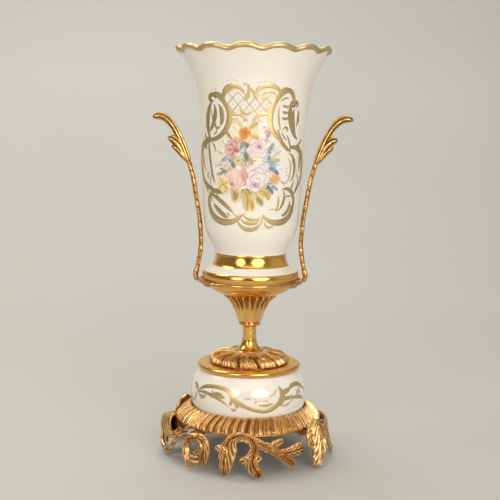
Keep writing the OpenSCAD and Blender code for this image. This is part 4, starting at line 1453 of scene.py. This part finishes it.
def leaf_section(length, pitch, sweep, relief, teeth, spine):
    """Acanthus leaf: a spine groove, veins that sweep out to a toothed edge, a plain back."""
    across = np.sin(np.linspace(-np.pi / 2, np.pi / 2, 37)) * 0.35
    across = across + np.linspace(-1, 1, 37) * 0.65
    off = across - spine * (1 - across ** 2)
    phase = length[:, None] / pitch - sweep * np.abs(off)
    vein = 0.5 + 0.5 * np.cos(TAU * phase)
    fine = 0.5 + 0.5 * np.cos(TAU * phase * 2 + 1.3)
    groove = np.exp(-(off / 0.10) ** 2)
    rim = np.exp(-((np.abs(across) - 0.86) / 0.1) ** 2)
    strength = smoothstep(0.05, 0.35, np.abs(off))
    edge_phase = length[:, None] / pitch - sweep
    tooth = np.abs(np.sin(np.pi * edge_phase)) ** 0.6
    x_front = across * (1 - teeth * (1 - tooth) * np.abs(across) ** 2)
    dome = (1 - np.abs(across) ** 2.6) ** 0.6
    bump = relief * ((0.42 * vein + 0.16 * fine) * strength - 0.46 * groove + 0.22 * rim)
    y_front = 0.95 * dome + bump * (0.35 + 0.65 * dome) - 0.15 * relief
    back = np.linspace(1, -1, 11)[1:-1]
    y_back = -0.75 * (1 - back ** 2) ** 0.5
    x = np.hstack([x_front, np.broadcast_to(back * 0.94, (len(length), len(back)))])
    y = np.hstack([y_front, np.broadcast_to(y_back, (len(length), len(back)))])
    deep = 0.8 * (1 - vein) ** 1.6 * strength + 0.2 * (1 - fine) + 0.9 * groove - 0.6 * rim
    deep = np.hstack([deep, np.full((len(length), len(back)), 0.75)])
    return x, y, np.clip(deep, 0, 1)


def twig_section(length, pitch, sweep, relief, teeth, spine):
    """Knotted twig: shallow slanting notches and a slow three-sided twist."""
    around_it = circle(26)
    s = length[:, None]
    notch = np.exp(-((((s / pitch + sweep * around_it / TAU) % 1) - 0.5) / 0.09) ** 2)
    twist = 0.5 + 0.5 * np.cos(3 * around_it + s * 0.09)
    knot = np.exp(-((((s / (pitch * 3.1)) % 1) - 0.5) / 0.10) ** 2)
    size = 0.90 + relief * (0.10 * twist - 0.10 * notch + 0.13 * knot)
    deep = np.clip(0.25 + 0.55 * notch + 0.35 * (1 - twist) - 0.3 * knot, 0, 1)
    return size * np.cos(around_it), size * np.sin(around_it), deep


def frond_section(length, pitch, sweep, relief, teeth, spine):
    """Rounded leaf with sharp ribs all round that follow its length."""
    around_it = circle(48)
    s = length[:, None]
    ribs = 0.5 + 0.5 * np.cos(6 * around_it + sweep * np.sin(s / pitch))
    ribs = ribs ** 1.4
    lobe = np.abs(np.sin(np.pi * s / pitch)) ** 0.7
    size = 0.84 + relief * 0.17 * ribs - teeth * (1 - lobe) * 0.5
    deep = np.clip(1.0 - 1.25 * ribs + 0.25 * (1 - lobe), 0, 1)
    return size * np.cos(around_it), size * np.sin(around_it), deep


def slab(shape, angle, r_hole, r_out, half_w, nose, z0, z1):
    """Flat lug: a rounded nose at r_hole and straight sides out to r_out."""
    bend = np.radians(np.linspace(0, -180, 17))
    x = np.concatenate([[half_w], nose * np.cos(bend), [-half_w]])
    r = np.concatenate([[r_out], r_hole + nose * np.sin(bend), [r_out]])
    turn = math.radians(angle)
    px = x * math.cos(turn) + r * math.sin(turn)
    py = x * math.sin(turn) - r * math.cos(turn)
    rings = np.stack([np.stack([px, py, np.full_like(px, z)], 1) for z in (z0, z1)])
    shape.tube(rings, np.full(rings.shape[:2], 0.55))


# ---- Feet ----

# Lugs under the ring: their top, thickness, half width, nose radius and the nose's place
LUG_TOP = low("gadroon_ring")
LUG_THICK = 4
LUG_HALF = 4.5
LUG_NOSE = 5.5
LUG_R = 84

ARCH_LEAF_LEG = [(3, 97.4, 41.5, 7, 5), (-4, 98, 45.5, 11, 7), (-10, 99.5, 41.5, 15, 7),
                 (-12.6, 102, 31, 23, 8), (-13.4, 104, 18, 21, 8), (-13.8, 105.5, 8, 14, 7),
                 (-13.8, 105.5, -1, 8, 7)]
ARCH_SCROLL_LEG = [(-6, 97.4, 42, 7, 5), (0, 98, 43.5, 11, 7), (4.4, 100, 36, 12, 7),
                   (3.8, 102, 27.5, 13, 7), (2.2, 104, 19, 18, 8), (3.6, 105, 11, 16, 8),
                   (6, 106, 4, 13, 9), (7, 106.4, -1, 12, 9)]
ARCH_SIDE_LOBE = [(-13.5, 102, 27.5, 13, 6), (-18, 103.4, 30.5, 11, 5),
                  (-21.2, 104, 32.5, 5, 3)]
ARCH_LOBE = [(2.5, 104, 19, 11, 6), (-1.6, 105.4, 19.5, 11, 6), (-4.6, 106, 17, 6, 4)]
ARCH_SPUR = [(4, 104.4, 17, 8, 5), (7, 104.8, 21.5, 7, 5), (8.6, 104.8, 25, 3.5, 3)]
ARCH_BRANCH = [(-3, 97.6, 44, 8, 5), (5, 98, 39.5, 11, 6), (10, 98.4, 34.5, 12, 6),
               (16, 99, 30.5, 13, 6.5), (22, 99.8, 23.5, 13, 6.5), (28, 101.4, 15, 13, 6.5),
               (32.6, 102.8, 8.5, 9, 5)]
ARCH_UPPER_LEAF = [(14.5, 99, 31, 8, 5), (20, 99, 36.5, 10, 5), (25, 99.4, 39.5, 6, 4)]
ARCH_LINK = [(18, 99.4, 26, 8, 5), (26, 99.8, 24.5, 11, 6), (33, 99.6, 25, 16, 6),
             (38.5, 98.6, 26, 17, 6), (42.4, 97.4, 26, 13, 5)]


def lug(shape, angle, out):
    slab(shape, angle, LUG_R, out, LUG_HALF, LUG_NOSE, LUG_TOP - LUG_THICK, LUG_TOP)


def build_arch(name, node, turn):
    shape = Shape()
    strand(shape, ARCH_LEAF_LEG, turn=turn, pitch=11, sweep=2.6, spine=-0.3, teeth=0.22)
    strand(shape, ARCH_SCROLL_LEG, turn=turn, pitch=10, sweep=2.4, spine=0.2)
    strand(shape, ARCH_SIDE_LOBE, turn=turn, pitch=6, sweep=1.5, teeth=0.25)
    strand(shape, ARCH_LOBE, turn=turn, pitch=6, sweep=1.5)
    strand(shape, ARCH_SPUR, turn=turn, pitch=6, sweep=1.5)
    strand(shape, ARCH_BRANCH, turn=turn, pitch=9, sweep=2.8, spine=0.15, teeth=0.26)
    strand(shape, ARCH_UPPER_LEAF, turn=turn, pitch=6, sweep=1.8, teeth=0.3)
    strand(shape, ARCH_LINK, turn=turn, pitch=7, sweep=2, teeth=0.25)
    lug(shape, -12 + turn, 99)
    lug(shape, 6 + turn, 97)
    shape.piece(name, antique, "antique_brass", (node,))


SIDE_ROLL = [(-69, 96.8, 39.5, 27, 12.5), (-74, 98.6, 37.8, 28, 14.5),
             (-80, 100.8, 35.4, 27.5, 16), (-86, 101.6, 33.8, 26.5, 16), (-92, 101, 33, 24, 14),
             (-98, 98.8, 35, 18, 9), (-101, 97.5, 37, 12, 5)]
SIDE_HOLLOW = [(-69, 96.6, 41.3, 19, 9), (-75, 98, 39.8, 19, 10), (-82, 100, 37, 17, 9),
               (-87, 100.6, 35.5, 12, 6)]
SIDE_LOOP = [(-90, 104.5, 27, 9, 5), (-89.5, 107, 18, 8, 5), (-84, 106, 8.5, 7, 5.5),
             (-77.5, 103, 4.5, 7, 5.5), (-72, 100, 9, 6.5, 5), (-66.5, 98, 19, 6.5, 5),
             (-60.5, 97.2, 28.5, 6.5, 5), (-55, 96.6, 36.5, 7, 5), (-50.5, 95.4, 42.5, 6, 4.5),
             (-45.5, 94.4, 46.5, 5, 4.5), (-41.5, 94, 47.2, 4, 4)]
SIDE_LEG = [(-92, 103, 27, 10, 6), (-97, 104, 15, 9, 6), (-101, 105.5, 6, 8, 5.4),
            (-102.5, 106.5, -1, 7, 5.4)]
SIDE_BAND = [(-78, 101, 25, 8, 6), (-70, 98.8, 26.5, 8, 5.5), (-62, 97.4, 34, 7, 5),
             (-56.5, 96.4, 40.5, 6, 5)]
RIGHT_RAIL = [(69.5, 96.6, 38, 6, 4.5), (75, 96.8, 38.6, 8, 5), (90, 96.8, 39, 8, 5),
              (105, 96.8, 38.6, 8, 5), (114, 96.6, 38, 6, 4.5)]
RIGHT_STRAP = [(71.5, 96.8, 38, 8, 5), (74, 98, 35.5, 10, 6), (78, 99.5, 27.5, 9.5, 6),
               (81.5, 101, 17, 7, 5), (85, 103.5, 7, 5.5, 5), (88.5, 105, 2.4, 6, 5),
               (93, 104.2, 5, 6, 5), (98, 102, 14, 8, 5), (103.5, 99.8, 25, 10, 6),
               (108, 98.4, 33.5, 11, 6), (112, 96.8, 38.4, 9, 5)]
RIGHT_LEAF = [(92, 96.4, 40, 12, 5), (92, 97.4, 31, 15, 6), (91.5, 99.4, 20, 11, 5),
              (91, 101.6, 10, 4, 4)]


def rolled(shape, outer, hollow, pitch):
    """Rolled leaf: a ribbed tube with a beaded lip and a blind hollow from its first end."""
    around_it = circle(64)
    rings, depths = [], []
    for stations, way in ((hollow, -1), (outer, 1)):
        path, wide, thick, width, height, length = swept(stations, False, 0.7)
        s = length[:, None] + 0.8 * np.sin(2 * around_it)
        groove = np.exp(-(((s / pitch) % 1 - 0.5) / 0.16) ** 2)
        fine = 0.5 + 0.5 * np.cos(TAU * s / pitch * 3)
        lip = np.exp(-((length[:, None] - 1.2) / 1.5) ** 2)
        bead = lip * (0.5 + 0.5 * np.cos(13 * around_it))
        tail = np.clip((length[-1] - length[:, None]) / 3 + 0.1, 0, 1) ** 0.5
        if way > 0:
            size = (1 - 0.075 * groove + 0.02 * fine + 0.05 * bead) * tail
            deep = 0.1 + 0.75 * groove + 0.15 * (1 - fine) - 0.5 * bead
        else:
            size = (1 + 0.02 * fine) * tail
            deep = 1.0 - 0.5 * lip
        ring = (path[:, None] + (size * np.cos(around_it) * width[:, None] / 2)[..., None]
                * wide[:, None] + (size * np.sin(around_it) * height[:, None] / 2)[..., None]
                * thick[:, None])
        rings.append(ring[::way])
        depths.append(np.clip(deep + np.zeros(ring.shape[:2]), 0, 1)[::way])
    shape.tube(np.vstack(rings), np.vstack(depths))


def build_left_side():
    shape = Shape()
    rolled(shape, SIDE_ROLL, SIDE_HOLLOW, 5.2)
    strand(shape, SIDE_BAND, pitch=14, sweep=0.6, relief=0.5, teeth=0.05)
    strand(shape, SIDE_LOOP, pitch=16, sweep=0.6, relief=0.5, teeth=0.05)
    strand(shape, SIDE_LEG, radial=True, pitch=8, sweep=1.6)
    lug(shape, -98, 97)
    lug(shape, -76, 93)
    shape.piece("roll_left", antique, "antique_brass", ("foot_side_left",))


def build_right_side():
    shape = Shape()
    strand(shape, RIGHT_RAIL, pitch=9, sweep=1.2, relief=0.7)
    strand(shape, RIGHT_STRAP, pitch=12, sweep=1.4, relief=0.9)
    strand(shape, RIGHT_LEAF, pitch=7, sweep=2.2, teeth=0.25)
    lug(shape, 82, 97)
    lug(shape, 104, 97)
    shape.piece("strap_right", antique, "antique_brass", ("foot_side_right",))


SCROLL_LEFT = [(-33, 98, 36, 7, 5), (-38.5, 98.6, 38, 10, 7), (-43.5, 100, 34, 12, 7.5),
               (-45.8, 101.5, 26, 11, 7), (-45.4, 102, 17, 12, 7), (-44, 101.2, 8, 10, 7),
               (-43, 99.5, -1, 7, 7)]
SCROLL_RIGHT = [(-40, 98, 36, 7, 5), (-34.5, 98.6, 38.5, 11, 7), (-30.4, 100, 34, 13, 7.5),
                (-29, 101.5, 26, 14, 8), (-30.2, 101, 17, 14, 8), (-32, 98.5, 9, 11, 7),
                (-32.4, 96, 2.5, 8, 6)]
SCROLL_FLOOR = [(-44.5, 101.5, 14, 9, 5), (-39, 103, 12, 10, 6), (-33.6, 102, 13, 9, 5)]
SCROLL_CURL = [(-32, 101, 33, 7, 4), (-33.6, 102, 26, 7, 4), (-35.4, 102.6, 21, 6, 4),
               (-38, 103, 21.5, 3.5, 3)]


def build_scroll(name, node, turn):
    shape = Shape()
    strand(shape, SCROLL_LEFT, turn=turn, pitch=12, sweep=2.6, spine=0.2)
    strand(shape, SCROLL_RIGHT, turn=turn, pitch=10, sweep=2.6, spine=-0.2, teeth=0.22)
    strand(shape, SCROLL_FLOOR, turn=turn, pitch=8, sweep=1.8)
    strand(shape, SCROLL_CURL, turn=turn, pitch=7, sweep=1.4)
    lug(shape, -42 + turn, 98)
    shape.piece(name, antique, "antique_brass", (node,))


LEAF_MAIN = [(58, 97.4, 43, 8, 5), (55, 98.8, 48.5, 14, 7), (54, 100.6, 40, 19, 8),
             (54.2, 103, 28, 21, 9), (54.2, 104, 16, 21, 9), (54, 103.8, 6, 20, 8),
             (53.6, 103.6, -1, 15, 8)]
LEAF_BAND = [(50, 97.4, 44, 7, 5), (56, 98.8, 49, 10, 6), (62.6, 100.2, 41, 9, 5.5),
             (66, 101.4, 28.5, 9, 5), (64.5, 102.4, 17, 10, 5), (60, 103.2, 7, 10, 6)]
LEAF_EDGE = [(50, 97.4, 51, 7, 5), (47.4, 98.8, 44, 8, 6), (46.2, 100.6, 34, 8, 6),
             (47.6, 102, 23, 8, 6)]


def build_leaf(name, node, turn):
    shape = Shape()
    strand(shape, LEAF_MAIN, turn=turn, pitch=11, sweep=2.8, spine=0.25, teeth=0.2)
    strand(shape, LEAF_BAND, turn=turn, pitch=12, sweep=2.2)
    strand(shape, LEAF_EDGE, turn=turn, pitch=8, sweep=1.4, teeth=0.3)
    lug(shape, 50 + turn, 99)
    shape.piece(name, antique, "antique_brass", (node,))


def build_feet():
    for way, turn in (("front", 0), ("back", 180)):
        build_arch("arch_" + way, "foot_arch_" + way, turn)
    build_left_side()
    build_right_side()
    for way, turn in (("front_left", 0), ("back_right", 180)):
        build_scroll("scroll_" + way, "foot_scroll_" + way, turn)
    for way, turn in (("front_right", 0), ("back_left", 180)):
        build_leaf("leaf_" + way, "foot_leaf_" + way, turn)


# ---- Handles ----

TWIG = 5.8
TWIG_PATH = [(90, 62, 215.5, 0.86, 0.86), (90, 66.5, 216.5, 1.04, 1.1), (90, 68, 221.5, 1.04, 1.14),
             (90, 66.5, 228, 1, 1.04), (90, 64.5, 236, 1, 1), (90, 62, 253, 1, 1),
             (90, 61.5, 265, 1, 1), (90, 62.5, 278, 1, 1), (90, 63.5, 290, 1, 1),
             (90, 67.5, 315, 1, 1), (90, 71.5, 339, 1, 1), (90, 75, 352, 1, 1),
             (90, 78, 363, 1.1, 1.1)]
UPPER_LEAF = [(90, 77, 358, 7, 7), (90, 81.5, 371, 9, 9.5), (90, 88.5, 388, 9, 9.5),
              (90, 95.5, 401, 9.5, 9.5), (90, 103.5, 410.5, 10, 10.5), (90, 112, 415, 10, 10.5),
              (90, 118.5, 414.5, 9, 8.5), (90, 121.5, 413, 5, 5)]
LOWER_LEAF = [(90, 79.5, 361, 6, 7), (90, 84.5, 371, 10, 11), (90, 89.5, 380, 11, 13.5),
              (90, 96, 386.5, 11, 12), (90, 101, 388.5, 9, 8.5), (90, 103.5, 388, 5, 4)]
LOWER_LOBE = [(90, 82, 364, 7, 7), (90, 87.5, 371.5, 9, 9), (90, 92.5, 376.5, 9, 8.5),
              (90, 96.5, 378.5, 7, 6), (90, 98.5, 378, 4, 3)]


def hug_path():
    """Lower twig that hugs the underside of the foot and thins out towards its ends."""
    stations = []
    for k in range(-4, 5):
        share = abs(k) / 4
        size = 5.2 - 3 * share * share
        stations.append((90 + 58 * k / 4, 61.8 + 0.5 * (1 - share), 215.4, size, size))
    return stations


def build_handles():
    z = low("mount_ring")
    for name, turn in (("right", 0), ("left", 180)):
        shape = Shape()
        twig = [(a, r, h, w * TWIG, t * TWIG) for a, r, h, w, t in TWIG_PATH]
        strand(shape, twig, "twig", True, turn=turn, pitch=9, sweep=1)
        strand(shape, UPPER_LEAF, "frond", True, turn=turn, pitch=16, sweep=0.6, teeth=0.2)
        strand(shape, LOWER_LEAF, "frond", True, turn=turn, pitch=15, sweep=0.8, teeth=0.2)
        strand(shape, LOWER_LOBE, "frond", True, turn=turn, pitch=12, sweep=0.8, teeth=0.2)
        strand(shape, hug_path(), "twig", turn=turn, pitch=10, sweep=1)
        for tab in (-26, 26):
            slab(shape, 90 + tab + turn, 55.8, 61.6, 2.5, 2.9, z - 2.5, z)
        shape.piece("branch_" + name, gilt, "antique_brass", ("handle_" + name,))


# ---- Hardware that keeps its CAD shape ----

def dress_hardware():
    steel_nodes = ("handle_screws", "foot_screws", "tie_rod", "top_nut", "top_washer",
                   "bottom_washer", "bottom_nut", "bridge_plate")
    cork_nodes = ("foot_gasket", "cap_gasket", "bun_gasket")
    for look, nodes in ((steel, steel_nodes), (felt, ("top_pad",)), (cork, cork_nodes)):
        for node in nodes:
            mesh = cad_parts[node].data
            mesh.materials.clear()
            mesh.materials.append(look)


# ---- Studio ----

def stage_look():
    look = Look("studio_paper")
    look.feed(look.tint(1.2, 2, (0.485, 0.485, 0.46), (0.51, 0.51, 0.485)), "Base Color")
    look.bump(look.noise(300, 2), 0.03, 0.3)
    look.set(Roughness=0.75)
    return look.material


def build_stage():
    """Floor that curves up into the backdrop."""
    curve = smooth_path([(-2.6, 0), (0.4, 0), (1.1, 0.06), (1.7, 0.36), (2.1, 1.0), (2.2, 3)], 12)
    xs = np.linspace(-3, 3, 13)
    points = [(x, y, z) for y, z in curve for x in xs]
    mesh = bpy.data.meshes.new("studio_sweep")
    faces = grid_faces(len(curve), len(xs), False, False).tolist()
    mesh.from_pydata(points, [], faces)
    mesh.polygons.foreach_set("use_smooth", np.ones(len(faces), bool))
    mesh.materials.append(stage_look())
    sweep = bpy.data.objects.new("studio_sweep", mesh)
    bpy.context.scene.collection.objects.link(sweep)


def lamp(name, place, target, width, tall, power, tint=(1, 0.97, 0.92)):
    """Soft oval light at a place, aimed at a target."""
    light = bpy.data.lights.new(name, "AREA")
    light.shape = "ELLIPSE"
    light.size = width
    light.size_y = tall
    light.energy = power
    light.color = tint
    holder = bpy.data.objects.new(name, light)
    holder.location = place
    aim = Vector(target) - Vector(place)
    holder.rotation_euler = aim.to_track_quat("-Z", "Y").to_euler()
    bpy.context.scene.collection.objects.link(holder)


def build_world():
    """Room that is bright overhead, behind and on the right, and dim behind the camera."""
    world = bpy.data.worlds.new("room")
    world.use_nodes = True
    tree = world.node_tree
    place = tree.nodes.new("ShaderNodeTexCoord")
    split = tree.nodes.new("ShaderNodeSeparateXYZ")
    tree.links.new(place.outputs["Generated"], split.inputs["Vector"])

    def step(axis, dark, bright, low_value, high_value):
        node = tree.nodes.new("ShaderNodeMapRange")
        node.interpolation_type = "SMOOTHSTEP"
        node.inputs["From Min"].default_value = dark
        node.inputs["From Max"].default_value = bright
        node.inputs["To Min"].default_value = low_value
        node.inputs["To Max"].default_value = high_value
        tree.links.new(split.outputs[axis], node.inputs["Value"])
        return node.outputs["Result"]

    def both(operation, first, second):
        node = tree.nodes.new("ShaderNodeMath")
        node.operation = operation
        tree.links.new(first, node.inputs[0])
        tree.links.new(second, node.inputs[1])
        return node.outputs["Value"]

    behind = step("Y", -0.95, -0.1, 0.0, 0.8)
    above = step("Z", 0.3, 0.8, 0.0, 1.0)
    right = step("X", -0.75, 0.5, 0.36, 1.0)
    bright = both("MULTIPLY", both("MAXIMUM", behind, above), right)
    ramp = tree.nodes.new("ShaderNodeValToRGB")
    ramp.color_ramp.elements[0].color = (0.13, 0.105, 0.08, 1)
    ramp.color_ramp.elements[1].color = (0.95, 0.91, 0.84, 1)
    tree.links.new(bright, ramp.inputs["Fac"])
    tree.links.new(ramp.outputs["Color"], tree.nodes["Background"].inputs["Color"])
    tree.nodes["Background"].inputs["Strength"].default_value = 0.66
    bpy.context.scene.world = world


def build_light():
    for name, azimuth, width, power in (("box_right", 24, 0.96, 9.8), ("box_left", -31, 0.66, 4.7)):
        turn = math.radians(azimuth)
        place = (1.4 * math.sin(turn), -1.4 * math.cos(turn), 0.58)
        lamp(name, place, (0, 0, 0.28), width, 0.8, power)
    lamp("front_fill", (0.2, -1.6, 1.7), (0, 0, 0.1), 2.6, 1.2, 7)
    lamp("left_fill", (-1.3, 0.0, 1.5), (0, 0, 0.3), 1.0, 1.0, 6.5, (1, 0.94, 0.82))
    lamp("wall_wash", (-0.5, 0.9, 2.6), (-0.5, 2.0, 0.3), 3.0, 0.8, 47)
    build_world()
    bpy.context.scene.view_settings.view_transform = "Standard"


def build_camera():
    """Long lens a little above the vase's shoulder, tipped down and rolled a touch."""
    camera = bpy.data.objects.new("camera", bpy.data.cameras.new("camera"))
    camera.data.lens = 75.9
    camera.data.sensor_width = 36
    camera.location = (-0.001, -1.291, 0.417)
    pitch = Matrix.Rotation(math.radians(90 - 7.25), 3, "X")
    roll = Matrix.Rotation(math.radians(0.95), 3, "Z")
    camera.rotation_euler = (pitch @ roll).to_euler()
    bpy.context.scene.collection.objects.link(camera)
    bpy.context.scene.camera = camera


build_body()
build_rim()
build_bands()
build_gilding()
build_bun()
build_mount()
build_cup()
build_collar()
build_tube()
build_flare()
build_step()
build_plate()
build_bell()
build_rosette()
build_ring()
build_feet()
build_handles()
dress_hardware()
build_stage()
build_light()
build_camera()
